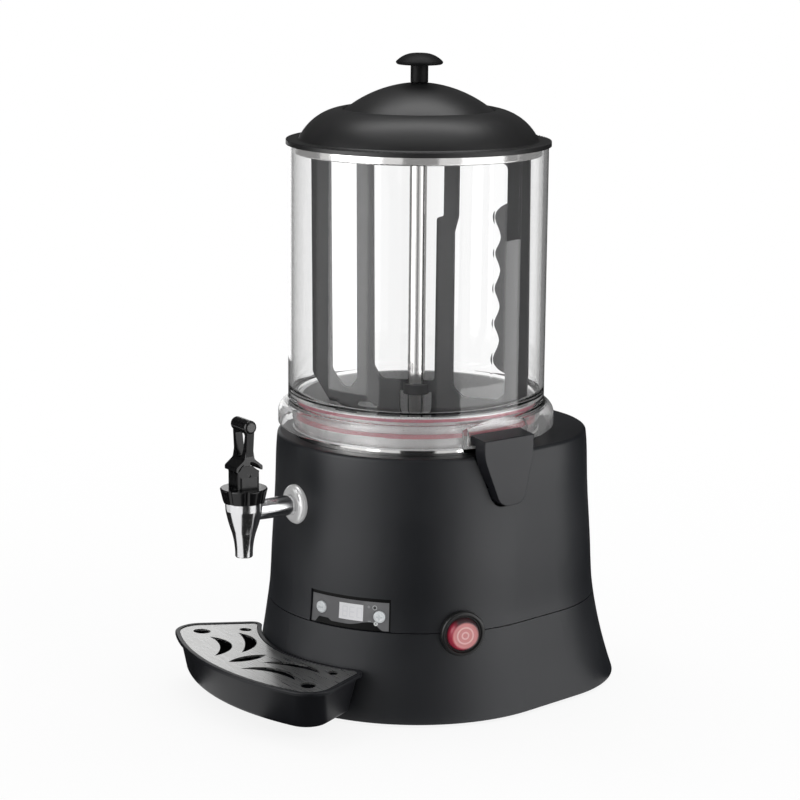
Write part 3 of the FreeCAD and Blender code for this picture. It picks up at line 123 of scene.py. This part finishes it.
class Finish(Nodes):
    """A material: one Principled shader, with the nodes that vary it over the surface."""

    def __init__(self, name, colour, **constants):
        self.material = bpy.data.materials.new(name)
        self.material.use_nodes = True
        super().__init__(self.material.node_tree)
        self.shader = self.tree.nodes["Principled BSDF"]
        self.shader.inputs["Base Color"].default_value = (*colour, 1)
        for name, value in constants.items():
            self.shader.inputs[name.replace("_", " ")].default_value = value

    def paint(self, name, value):
        self.feed(self.shader.inputs[name], value)

    def place(self):
        """Where a point is on the machine at rest, in metres."""
        return self.node("ShaderNodeTexCoord", output="Object")

    def along(self, direction, start=(0, 0, 0)):
        """How far a point lies from start in a direction, in metres."""
        offset = self.node("ShaderNodeVectorMath", {"operation": "SUBTRACT"},
                           {0: self.place(), 1: tuple(start)})
        return self.node("ShaderNodeVectorMath", {"operation": "DOT_PRODUCT"},
                         {0: offset, 1: tuple(direction)}, output="Value")

    def from_axis(self):
        """How far a point is from the bowl's upright axis, in metres."""
        across, back = self.along((1, 0, 0), axis), self.along((0, 1, 0), axis)
        return (across ** 2 + back ** 2) ** 0.5

    def bearing(self):
        """Degrees round the bowl's axis, from the front towards the power button's side."""
        across, front = self.along((1, 0, 0), axis), self.along((0, -1, 0), axis)
        return across.maths("ARCTAN2", across, front) * math.degrees(1)

    def grain(self, size, detail=2.0, stretch=(1, 1, 1)):
        """Noise from 0 to 1 whose blotches are about size metres, longer where stretch is less."""
        spot = self.node("ShaderNodeVectorMath", {"operation": "MULTIPLY"},
                         {0: self.place(), 1: stretch})
        return self.node("ShaderNodeTexNoise", None,
                         {"Vector": spot, "Scale": 1 / size, "Detail": detail})

    def mix(self, factor, colour, other):
        return self.node("ShaderNodeMix", {"data_type": "RGBA"}, {0: factor, 6: colour, 7: other},
                         output=2)

    def bump(self, height, depth):
        """Raise the surface by depth metres where height is 1."""
        raised = self.node("ShaderNodeBump", None, {"Height": height, "Distance": depth})
        self.paint("Normal", raised)


def dress(finish, *names):
    """Give a finish to the frame's own nodes."""
    for name in names:
        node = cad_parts[name]
        node.data.materials.clear()
        node.data.materials.append(finish.material)


SHELL_BLACK, SHELL_WORN = (0.0065, 0.0075, 0.01), (0.011, 0.012, 0.0148)
SHELL_GRAIN, CLOUD_SIZE = 0.0007, 0.09


def moulded(name, colour, worn, roughness, grain=SHELL_GRAIN, depth=0.00003, ior=1.46):
    """Moulded plastic: a fine grain, and slow cloudy changes of tone and sheen."""
    finish = Finish(name, colour, IOR=ior)
    cloud = finish.grain(CLOUD_SIZE, 3)
    finish.paint("Base Color", finish.mix(cloud.ramp(0.35, 0.7), colour, worn))
    finish.paint("Roughness", cloud.ramp(0.3, 0.7, roughness - 0.03, roughness + 0.04))
    finish.bump(finish.grain(grain, 1), depth)
    return finish


shell_black = moulded("shell_black", SHELL_BLACK, SHELL_WORN, 0.46)
dress(shell_black, "upper_housing", "base_skirt")


# ---- Base plate, feet and screws ----------------------------------------------------------------
# A ribbed plastic plate closes the bottom. Four black rubber feet are pulled through it by their
# button heads, and four zinc-coated screws hold it to the skirt's pillars.
RUBBER_BLACK, RUBBER_WORN = (0.01, 0.01, 0.01), (0.022, 0.021, 0.02)


def metal(name, colour, smooth, rough, grain, detail=2, stretch=(1, 1, 1), metallic=1.0):
    """A metal whose roughness wanders from smooth to rough in blotches of the grain's size."""
    finish = Finish(name, colour, Metallic=metallic)
    finish.paint("Roughness", finish.grain(grain, detail, stretch).ramp(0.3, 0.7, smooth, rough))
    return finish


plate_black = moulded("plate_black", (0.018, 0.018, 0.019), (0.03, 0.03, 0.031), 0.6, 0.0012)
foot_rubber = moulded("foot_rubber", RUBBER_BLACK, RUBBER_WORN, 0.75, 0.0015, 0.00008)
screw_steel = metal("screw_steel", (0.62, 0.63, 0.65), 0.22, 0.4, 0.002)
dress(plate_black, "base_plate", "terminal_block", "cord_gland", "gland_nut")
dress(foot_rubber, *[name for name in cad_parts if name.startswith("foot_")])
dress(screw_steel, "base_screws", "lid_knob_screw", "gear_spacers", "shank_nut")


# ---- Gearbox, motor and heater ------------------------------------------------------------------
# Under the bath a can motor turns a bronze pinion against a nylon wheel between two zinc-coated
# plates. A sheathed heating element and a probe reach into the bath through its floor.
plate_zinc = metal("plate_zinc", (0.55, 0.56, 0.57), 0.3, 0.5, 0.006, 3)
gear_nylon = moulded("gear_nylon", (0.78, 0.76, 0.7), (0.7, 0.67, 0.6), 0.45, 0.002)
motor_paint = moulded("motor_paint", (0.05, 0.055, 0.065), (0.09, 0.09, 0.1), 0.4, 0.003)
bush_bronze = metal("bush_bronze", (0.55, 0.36, 0.16), 0.3, 0.55, 0.0015)
heater_sheath = metal("heater_sheath", (0.34, 0.33, 0.31), 0.3, 0.6, 0.004, 3)
board_green = moulded("board_green", (0.02, 0.16, 0.06), (0.03, 0.2, 0.09), 0.35, 0.004)
dress(plate_zinc, "gear_plate_lower", "gear_plate_upper")
dress(gear_nylon, "drive_gear")
dress(motor_paint, "stirrer_motor")
dress(bush_bronze, "motor_pinion", "chimney_bush", "shaft_bush_upper", "shaft_bush_lower")
dress(heater_sheath, "heating_element", "temperature_probe")
dress(board_green, "control_board")


# ---- Water bath and product pan -----------------------------------------------------------------
# Two vessels of thin stainless sheet. The bath's polished rim shows as a band over the deck, and
# its chimney tube stands up the middle of the bowl. The pan is the bowl's pale bead-blasted floor.
STAINLESS = (0.84, 0.83, 0.82)

bath_steel = metal("bath_steel", STAINLESS, 0.06, 0.14, 0.0016, stretch=(1, 1, 0.02))
pan_steel = metal("pan_steel", (0.9, 0.9, 0.9), 0.26, 0.42, 0.002, 3, (1, 1, 8), metallic=0.45)
dress(bath_steel, "water_bath")
dress(pan_steel, "product_pan")


# ---- Seals --------------------------------------------------------------------------------------
# Two rings of silicone between the pan and the bowl's foot, the upper one pink and the lower one
# red, which glow through the clear plastic, and the pale washer on the tap's shank.
SILICONE_GRAIN, SILICONE_DEPTH = 0.001, 0.00003
GLOWING = {"Roughness": 0.35, "Subsurface_Weight": 0.3, "Subsurface_Scale": 0.004}


def silicone(name, colour, **constants):
    """Moulded silicone, with a fine grain."""
    finish = Finish(name, colour, **constants)
    finish.bump(finish.grain(SILICONE_GRAIN), SILICONE_DEPTH)
    return finish


seal_pink = silicone("seal_pink", (0.72, 0.3, 0.36), **GLOWING)
seal_red = silicone("seal_red", (0.78, 0.1, 0.16), **GLOWING)
silicone_pale = silicone("silicone_pale", (0.8, 0.79, 0.76), Roughness=0.5)
dress(seal_pink, "pan_rim_gasket")
dress(seal_red, "pan_seal_ring")
dress(silicone_pale, "tap_washer", "valve_cup")


# ---- Bowl ---------------------------------------------------------------------------------------
# A clear moulded cylinder with a rounded hollow foot flange. Light passes straight through its
# wall, which shades towards its edges where it is seen endwise. The flange is a little milky.
FLANGE_FROM, FLANGE_TOP, FLANGE_FADE, MILKY_SHARE = 0.1152, 0.262, 0.008, 0.13
MILKY_WHITE = (0.8, 0.8, 0.8)


def mixed_in(finish, factor, kind, **sockets):
    """Lay another shader over a finish where factor is 1."""
    other = finish.node(kind, None, sockets)
    blend = finish.node("ShaderNodeMixShader", None,
                        {0: factor, 1: Shade(finish, finish.shader.outputs[0]), 2: other})
    finish.tree.links.new(blend.socket, finish.tree.nodes["Material Output"].inputs[0])


bowl_clear = Finish("bowl_clear", (0.985, 0.985, 0.985), Roughness=0.0, IOR=1.37,
                    Transmission_Weight=1.0)
flange = (bowl_clear.from_axis() > FLANGE_FROM) * bowl_clear.along((0, 0, 1)).ramp(
    FLANGE_TOP - FLANGE_FADE, FLANGE_TOP, MILKY_SHARE, 0)
mixed_in(bowl_clear, flange, "ShaderNodeBsdfDiffuse", Color=MILKY_WHITE)
dress(bowl_clear, "bowl_cylinder")


# ---- Stirrer ------------------------------------------------------------------------------------
# A flat dark grey moulded frame on a ground stainless shaft, which turns in the chimney tube.
paddle_grey = moulded("paddle_grey", (0.055, 0.055, 0.057), (0.07, 0.07, 0.072), 0.55, 0.001)
shaft_steel = metal("shaft_steel", (0.82, 0.81, 0.8), 0.14, 0.26, 0.001, stretch=(1, 1, 6))
dress(paddle_grey, "stirring_paddle")
dress(shaft_steel, "drive_shaft", "motor_rotor", "latch_pin_left", "latch_pin_right", "valve_stem",
      "valve_spring")


# ---- Lid and knob -------------------------------------------------------------------------------
# A stepped dome of black plastic, smoother than the body, with a mushroom knob screwed to its
# crown. A polished steel band under its rim centres it in the bowl.
lid_black = moulded("lid_black", (0.01, 0.01, 0.0105), (0.015, 0.015, 0.0155), 0.38)
knob_black = moulded("knob_black", (0.007, 0.007, 0.0075), (0.01, 0.01, 0.0105), 0.5, ior=1.22)
band_steel = metal("band_steel", STAINLESS, 0.08, 0.18, 0.002, stretch=(1, 1, 6))
dress(lid_black, "lid_shell")
dress(knob_black, "lid_knob")
dress(band_steel, "lid_ring")


# ---- Latches ------------------------------------------------------------------------------------
# Two black clips, smoother than the housing, that swing out on a steel pin to free the bowl.
latch_black = moulded("latch_black", (0.009, 0.0095, 0.012), (0.013, 0.0135, 0.016), 0.3, ior=1.36)
dress(latch_black, "latch_left", "latch_right")


# ---- Tap ----------------------------------------------------------------------------------------
# A plated brass body with a tapering spout, and glossy black fittings: a lobed collar, a bonnet
# and a loop lever that turns on a pin and lifts the valve.
GLOSSY_BLACK, GLOSSY_WORN = (0.004, 0.004, 0.0045), (0.007, 0.007, 0.0075)

tap_chrome = metal("tap_chrome", (0.8, 0.8, 0.81), 0.12, 0.18, 0.01)
cover_chrome = metal("cover_chrome", (0.95, 0.95, 0.95), 0.2, 0.26, 0.03, metallic=0.35)
tap_black = moulded("tap_black", GLOSSY_BLACK, GLOSSY_WORN, 0.2, 0.002, 0.00001)
dress(tap_chrome, "tap_body")
dress(cover_chrome, "tap_escutcheon")
dress(tap_black, "tap_collar", "tap_bonnet", "tap_lever", "lever_pin")


# ---- Drip tray and grid -------------------------------------------------------------------------
# A deep black tub whose tongues slide into the skirt, under a loose plate of brushed stainless
# sheet with leaf-shaped drain slots.
GRID_DARK, GRID_PALE, BRUSHING_DEPTH = (0.47, 0.47, 0.47), (0.58, 0.58, 0.57), 0.000002

tray_black = moulded("tray_black", (0.006, 0.0065, 0.0085), (0.009, 0.0095, 0.012), 0.4, ior=1.38)
grid_steel = Finish("grid_steel", (0.62, 0.62, 0.62), Metallic=1.0)
brushing = grid_steel.grain(0.0009, 3, (0.03, 1, 1))
grid_steel.paint("Base Color", grid_steel.mix(brushing.ramp(0.3, 0.7), GRID_DARK, GRID_PALE))
grid_steel.paint("Roughness", brushing.ramp(0.3, 0.7, 0.26, 0.36))
grid_steel.bump(brushing, BRUSHING_DEPTH)
dress(tray_black, "drip_tray")
dress(grid_steel, "drip_grid")


# ---- Power button -------------------------------------------------------------------------------
# A round switch: a black stepped bezel, and a cap of tinted translucent plastic whose flat face is
# frosted paler, with two raised rings and a pip for its lamp. The cap's side has painted shade,
# darker towards its top and right.
POWER_BEARING, POWER_HEIGHT = math.radians(74), 0.08
FACE_REACH, FACE_EDGE = 0.0104, 0.0124
FACE_RINGS, RING_FULL, RING_GONE, RING_RISE = (0.0071, 0.0029), 0.00042, 0.00098, 0.0003
CAP_DEEP, CAP_FACE, CAP_RING = (0.45, 0.035, 0.07), (0.66, 0.27, 0.27), (0.85, 0.5, 0.5)
CAP_SHADE, SHADE_FROM, SHADE_LEAN = (0.06, 0.03, 0.035), -0.009, 0.4

bezel_black = moulded("bezel_black", (0.01, 0.01, 0.01), (0.016, 0.016, 0.016), 0.34)
cap_red = Finish("cap_red", CAP_DEEP, Roughness=0.3, Subsurface_Weight=0.2, Subsurface_Scale=0.003)
middle = axis + Vector((0, 0, POWER_HEIGHT))
sideways = cap_red.along((math.cos(POWER_BEARING), math.sin(POWER_BEARING), 0), middle)
upward = cap_red.along((0, 0, 1), middle)
reach = (sideways ** 2 + upward ** 2) ** 0.5
face = reach.ramp(FACE_REACH, FACE_EDGE, 1, 0)
outer, inner = [abs(reach - ring).ramp(RING_FULL, RING_GONE, 1, 0) for ring in FACE_RINGS]
rings = outer | inner
# painted shade: the cap's side is deep red at the lower left and shaded dark towards the top and
# right
lit = (sideways + upward * SHADE_LEAN).ramp(SHADE_FROM, 0.0, 1, 0)
tint_with_painted_shade = cap_red.mix(face, cap_red.mix(lit, CAP_SHADE, CAP_DEEP), CAP_FACE)
cap_red.paint("Base Color", cap_red.mix(rings * face, tint_with_painted_shade, CAP_RING))
cap_red.bump(rings, RING_RISE)
dress(bezel_black, "power_bezel", "power_switch")
dress(cap_red, "power_button")


# ---- Control panel ------------------------------------------------------------------------------
# A grey printed fascia sunk into the housing, with a black edge and painted black shade below a
# wavy line along its foot, a pale display, two white keys and two lamps. Positions on it are
# degrees round the body and metres up.
FASCIA_LEFT, FASCIA_RIGHT, FASCIA_TOP = 12.5, 46.1, 0.1066
FASCIA_GREY, FASCIA_PALE = (0.16, 0.16, 0.165), (0.2, 0.2, 0.205)
EDGE_AND_SHADE_BLACK, EDGE_SOFT = (0.004, 0.004, 0.004), 0.0002
DEGREE = 0.00228           # metres along the fascia
# the wavy top of the painted shade along the foot: its height at the left, then first and last
# bearing and rise of each slope
SHADE_LINE_LEFT, SHADE_LINE_SLOPES = 0.0813, ((14.0, 16.6, 0.0057), (20.2, 22.6, -0.0021),
                                  (29.5, 38.8, 0.0036), (39.2, 44.2, -0.0068))
# printed signs: spot, and outer and inner radius of a ring or half the width and height of a dash
PRINT_WHITE, RING_SHARE, DASH_SHARE = (0.7, 0.72, 0.72), 0.7, 0.5
LAMP_RING = (40.4, 0.1015), 0.0021, 0.0014
RUN_RING = (41.0, 0.0876), 0.0019, 0.0006
RUN_DASH = (38.4, 0.0893), 0.0014, 0.0003
DISPLAY_PALE, DIGIT_GREY, DIGIT_SHARE = (0.88, 0.88, 0.9), (0.72, 0.73, 0.77), 0.5
# digits: bearing of the left edge, and the strokes. Strokes 0, 3 and 6 lie level, from the foot
# up, strokes 1 and 4 stand at the left, and 2 and 5 at the right.
DIGITS = ((27.2, (0, 1, 2, 3, 4, 5, 6)), (30.2, (0, 1, 3, 4, 6)), (33.3, (0, 1, 2, 4, 5, 6)))
DIGIT_HIGH, DIGIT_WIDE, DIGIT_FOOT, STROKE = 0.0086, 1.9, 0.0914, 0.00045
SEGMENT_LEVEL = {0: 0, 3: 0.5, 6: 1, 1: 0.25, 2: 0.25, 4: 0.75, 5: 0.75}
# lamps: the bearing between the dark left one and the pale right one
LAMP_SPLIT, LAMP_DARK, LAMP_PALE = 39.2, (0.05, 0.05, 0.05), (0.3, 0.3, 0.31)
KEY_SPOTS = {"minus_key": (17.2, 0.0953), "plus_key": (42.3, 0.0939)}
KEY_WHITE, KEY_GREY, KEY_RIM = (0.88, 0.9, 0.91), (0.66, 0.71, 0.73), (0.0044, 0.0039)
SIGN_LONG, SIGN_HALF, SIGN_RISE, SIGN_SHARE = 0.0026, 0.0006, 0.0004, 0.8

fascia_grey = Finish("fascia_grey", FASCIA_GREY, Roughness=0.4, IOR=1.2)
turn, height = fascia_grey.bearing(), fascia_grey.along((0, 0, 1))
cloud = fascia_grey.grain(0.02, 2).ramp(0.35, 0.65)
shade_line = sum((turn.ramp(start, end, 0, rise) for start, end, rise in SHADE_LINE_SLOPES), SHADE_LINE_LEFT)
edge_and_shade = (turn < FASCIA_LEFT) | (turn > FASCIA_RIGHT) | (height > FASCIA_TOP)
# painted shade: black below the wavy line along the fascia's foot
edge_and_shade = edge_and_shade | (height - shade_line).ramp(-EDGE_SOFT, EDGE_SOFT, 1, 0)


def disc(finish, spot, radius, soft=0.0002):
    """1 within radius metres of a spot on the panel."""
    across = (finish.bearing() - spot[0]) * DEGREE
    reach = (across ** 2 + (finish.along((0, 0, 1)) - spot[1]) ** 2) ** 0.5
    return reach.ramp(radius - soft, radius + soft, 1, 0)


def ring(finish, spot, outer, inner):
    """1 between two radii round a spot on the panel."""
    return disc(finish, spot, outer) * (1 - disc(finish, spot, inner))


def patch(finish, spot, wide, high, soft=0.00015):
    """1 inside a rectangle round a spot on the panel: half its width and height, in metres."""
    across = abs((finish.bearing() - spot[0]) * DEGREE)
    upward = abs(finish.along((0, 0, 1)) - spot[1])
    return across.ramp(wide - soft, wide + soft, 1, 0) * upward.ramp(high - soft, high + soft, 1, 0)


colouring = fascia_grey.mix(cloud, FASCIA_GREY, FASCIA_PALE)
colouring = fascia_grey.mix(edge_and_shade, colouring, EDGE_AND_SHADE_BLACK)
signs = ring(fascia_grey, *LAMP_RING) * RING_SHARE | ring(fascia_grey, *RUN_RING)
signs = signs | patch(fascia_grey, *RUN_DASH) * DASH_SHARE
fascia_grey.paint("Base Color", fascia_grey.mix(signs, colouring, PRINT_WHITE))

display_pale = Finish("display_pale", DISPLAY_PALE, Roughness=0.25)
strokes = None
for left, segments in DIGITS:
    for segment in segments:
        upright = segment in (1, 2, 4, 5)
        side = DIGIT_WIDE if segment in (2, 5) else (0 if upright else DIGIT_WIDE / 2)
        spot = (left + side, DIGIT_FOOT + SEGMENT_LEVEL[segment] * DIGIT_HIGH)
        long = DIGIT_HIGH / 4 if upright else DIGIT_WIDE / 2 * DEGREE
        stroke = patch(display_pale, spot, *((STROKE, long) if upright else (long, STROKE)))
        strokes = stroke if strokes is None else strokes | stroke
colouring = display_pale.mix(strokes * DIGIT_SHARE, DISPLAY_PALE, DIGIT_GREY)
display_pale.paint("Base Color", colouring)

lamp_clear = Finish("lamp_clear", LAMP_DARK, Roughness=0.3)
right_lamp = lamp_clear.bearing() > LAMP_SPLIT
lamp_clear.paint("Base Color", lamp_clear.mix(right_lamp, LAMP_PALE, LAMP_DARK))
dress(fascia_grey, "panel_fascia")
dress(display_pale, "display_window")
dress(lamp_clear, "indicator_lamps")
for name, spot in KEY_SPOTS.items():
    key_white = Finish(name + "_white", KEY_WHITE, Roughness=0.4)
    sign = patch(key_white, spot, SIGN_LONG, SIGN_HALF)
    if name == "plus_key":
        sign = sign | patch(key_white, spot, SIGN_HALF, SIGN_LONG)
    worn = key_white.grain(0.0014, 2).ramp(0.35, 0.65, 0, 0.5)
    greyed = ring(key_white, spot, *KEY_RIM) | sign * SIGN_SHARE | worn
    key_white.paint("Base Color", key_white.mix(greyed, KEY_WHITE, KEY_GREY))
    key_white.bump(sign, SIGN_RISE)
    dress(key_white, name)


# ---- Floor and light ----------------------------------------------------------------------------
# A plain white studio. The floor keeps the machine's soft shadow and fades into the white behind.
# Black flags and white cards stand round the machine, and only mirrors see them.
FLOOR_REACH, SHADOW_FROM, SHADOW_REACH, SHADOW_SHARE = 6.0, 0.35, 1.1, 0.13
WORLD_FILL, CARD_STEPS = 0.66, 24
FLAG_REACH, CARD_REACH, FRONT_HIGH, SIDE_HIGH, FLAG_TOP = 0.8, 0.9, 0.62, 0.95, 1.7
THROUGH_PLASTIC = 0.3      # how much weaker the cards look behind the clear bowl
# upright cards: first and last bearing, lower and upper height, reach, glow
CARDS = {"flag_core": (-13, 17, 0.002, FRONT_HIGH, FLAG_REACH, 0.02),
         "flag_front_left": (-31, -13, 0.002, FRONT_HIGH, FLAG_REACH, 0.75),
         "flag_front_right": (17, 37, 0.002, FRONT_HIGH, FLAG_REACH, 0.7),
         "flag_back": (97, 266, 0.002, FRONT_HIGH, FLAG_REACH, 0.02),
         "flag_ring_front": (-31, 37, FRONT_HIGH, FLAG_TOP, FLAG_REACH, 0.08),
         "flag_ring_back": (97, 266, FRONT_HIGH, FLAG_TOP, FLAG_REACH, 0.08),
         "flag_ring_left": (-94, -31, SIDE_HIGH, FLAG_TOP, CARD_REACH, 0.08),
         "flag_ring_right": (37, 80, SIDE_HIGH, FLAG_TOP, CARD_REACH, 0.08),
         "flag_right_edge": (80, 97, 0.3, FLAG_TOP, CARD_REACH, 0.08),
         "card_left_edge": (-94, -80, 0.002, SIDE_HIGH, CARD_REACH, 0.6),
         "card_left": (-80, -42, 0.12, SIDE_HIGH, CARD_REACH, 3.9),
         "card_left_inner": (-42, -31, 0.002, SIDE_HIGH, CARD_REACH, 2.2),
         "card_right": (37, 80, 0.002, 0.13, CARD_REACH, 4.5),
         "card_right_high": (37, 80, 0.13, SIDE_HIGH, CARD_REACH, 1.6),
         "card_right_edge": (80, 97, 0.002, 0.3, CARD_REACH, 3.3),
         "card_behind": (168, 194, 0.16, 0.5, FLAG_REACH - 0.05, 0.3),
         "card_behind_left": (194, 214, 0.16, 0.5, FLAG_REACH - 0.05, 1.4)}
# cards on the floor: corners to the picture's right and towards the viewer, and glow
FLOOR_CARDS = {"flag_floor_front": ([(-0.2, 0.2), (-0.12, 0.14), (-0.02, 0.16), (0.12, 0.16),
                                     (0.3, 0.76), (-0.18, 0.76)], 0.02),
               "flag_floor_left": ([(-0.72, 0.1), (-0.27, 0.11), (-0.2, 0.05), (-0.19, -0.3),
                                    (-0.33, -0.7), (-0.6, -0.5)], 0.02),
               "flag_floor_right": ([(0.15, 0.0), (0.3, 0.02), (0.75, 0.1), (0.7, -0.5),
                                     (0.15, -0.75)], 0.02)}
# lamps: bearing and reach, height, width, depth and watts; all point at AIM above the floor
LAMPS = {"lamp_over": ((180, 0.46), 2.2, 2.3, 0.46, 14),
         "lamp_right": ((60, 2.2), 1.4, 1.2, 1.2, 8)}
AIM = 0.3


def seen_directly(nodes):
    """1 for rays from the camera, off metal and through glass, and 0 for the rest."""
    camera_ray, glossy_ray, through_ray = [
        nodes.node("ShaderNodeLightPath", output=f"Is {kind} Ray")
        for kind in ("Camera", "Glossy", "Transmission")]
    return camera_ray | glossy_ray | through_ray


def stage_sheet(name, points, faces, material):
    mesh = bpy.data.meshes.new(name)
    mesh.from_pydata(points, [], faces)
    mesh.materials.append(material)
    sheet = bpy.data.objects.new(name, mesh)
    scene.collection.objects.link(sheet)
    return sheet


def from_view(bearing, reach, height):
    """A point at a bearing round the bowl, counted from the camera towards the picture's right."""
    angle = VIEW_BEARING + math.radians(bearing)
    return axis + Vector((reach * math.sin(angle), -reach * math.cos(angle), height))


floor_white = Finish("floor_white", (1, 1, 1), Roughness=0.9, Specular_IOR_Level=0.0)
plain = floor_white.from_axis().ramp(SHADOW_FROM, SHADOW_REACH, 1 - SHADOW_SHARE, 1.0)
mixed_in(floor_white, seen_directly(floor_white) * plain, "ShaderNodeEmission", Strength=1.0)
stage_sheet("floor", [(x * FLOOR_REACH, y * FLOOR_REACH, 0)
                      for x, y in ((-1, -1), (1, -1), (1, 1), (-1, 1))], [(0, 1, 2, 3)],
            floor_white.material)


def stand_card(name, points, faces, glow):
    """A card that only reflections show, and more faintly those seen through the bowl."""
    card = Finish(name, (0, 0, 0), Specular_IOR_Level=0.0, Emission_Color=(1, 1, 1, 1),
                  Emission_Strength=glow)
    bounced = card.node("ShaderNodeLightPath", output="Glossy Depth") > 0.5
    through = card.node("ShaderNodeLightPath", output="Is Transmission Ray")
    mixed_in(card, 1 - bounced * (1 - through * THROUGH_PLASTIC), "ShaderNodeBsdfTransparent")
    card.material.cycles.emission_sampling = "NONE"
    sheet = stage_sheet(name, points, faces, card.material)
    sheet.visible_camera = sheet.visible_diffuse = sheet.visible_shadow = False


for name, (start, end, low, high, reach, glow) in CARDS.items():
    bearings = [start + (end - start) * i / CARD_STEPS for i in range(CARD_STEPS + 1)]
    points = [from_view(bearing, reach, height) for bearing in bearings for height in (low, high)]
    faces = [(2 * i, 2 * i + 2, 2 * i + 3, 2 * i + 1) for i in range(CARD_STEPS)]
    stand_card(name, points, faces, glow)
for name, (corners, glow) in FLOOR_CARDS.items():
    points = [from_view(90, right, 0.002) + from_view(0, near, 0) - axis for right, near in corners]
    stand_card(name, points, [range(len(points))], glow)

world = bpy.data.worlds.new("studio")
scene.world = world
world.use_nodes = True
studio = Nodes(world.node_tree)
background = studio.tree.nodes["Background"]
studio.feed(background.inputs["Color"], (1, 1, 1))
studio.feed(background.inputs["Strength"],
            seen_directly(studio) * (1 - WORLD_FILL) + WORLD_FILL)

for name, ((bearing, reach), height, width, depth, watts) in LAMPS.items():
    lamp = bpy.data.objects.new(name, bpy.data.lights.new(name, "AREA"))
    scene.collection.objects.link(lamp)
    lamp.data.shape, lamp.data.energy = "RECTANGLE", watts
    lamp.data.size, lamp.data.size_y = width, depth
    lamp.location = from_view(bearing, reach, height)
    towards = axis + Vector((0, 0, AIM)) - lamp.location
    lamp.rotation_euler = towards.to_track_quat("-Z", "Y").to_euler()
    lamp.visible_camera = lamp.visible_transmission = False
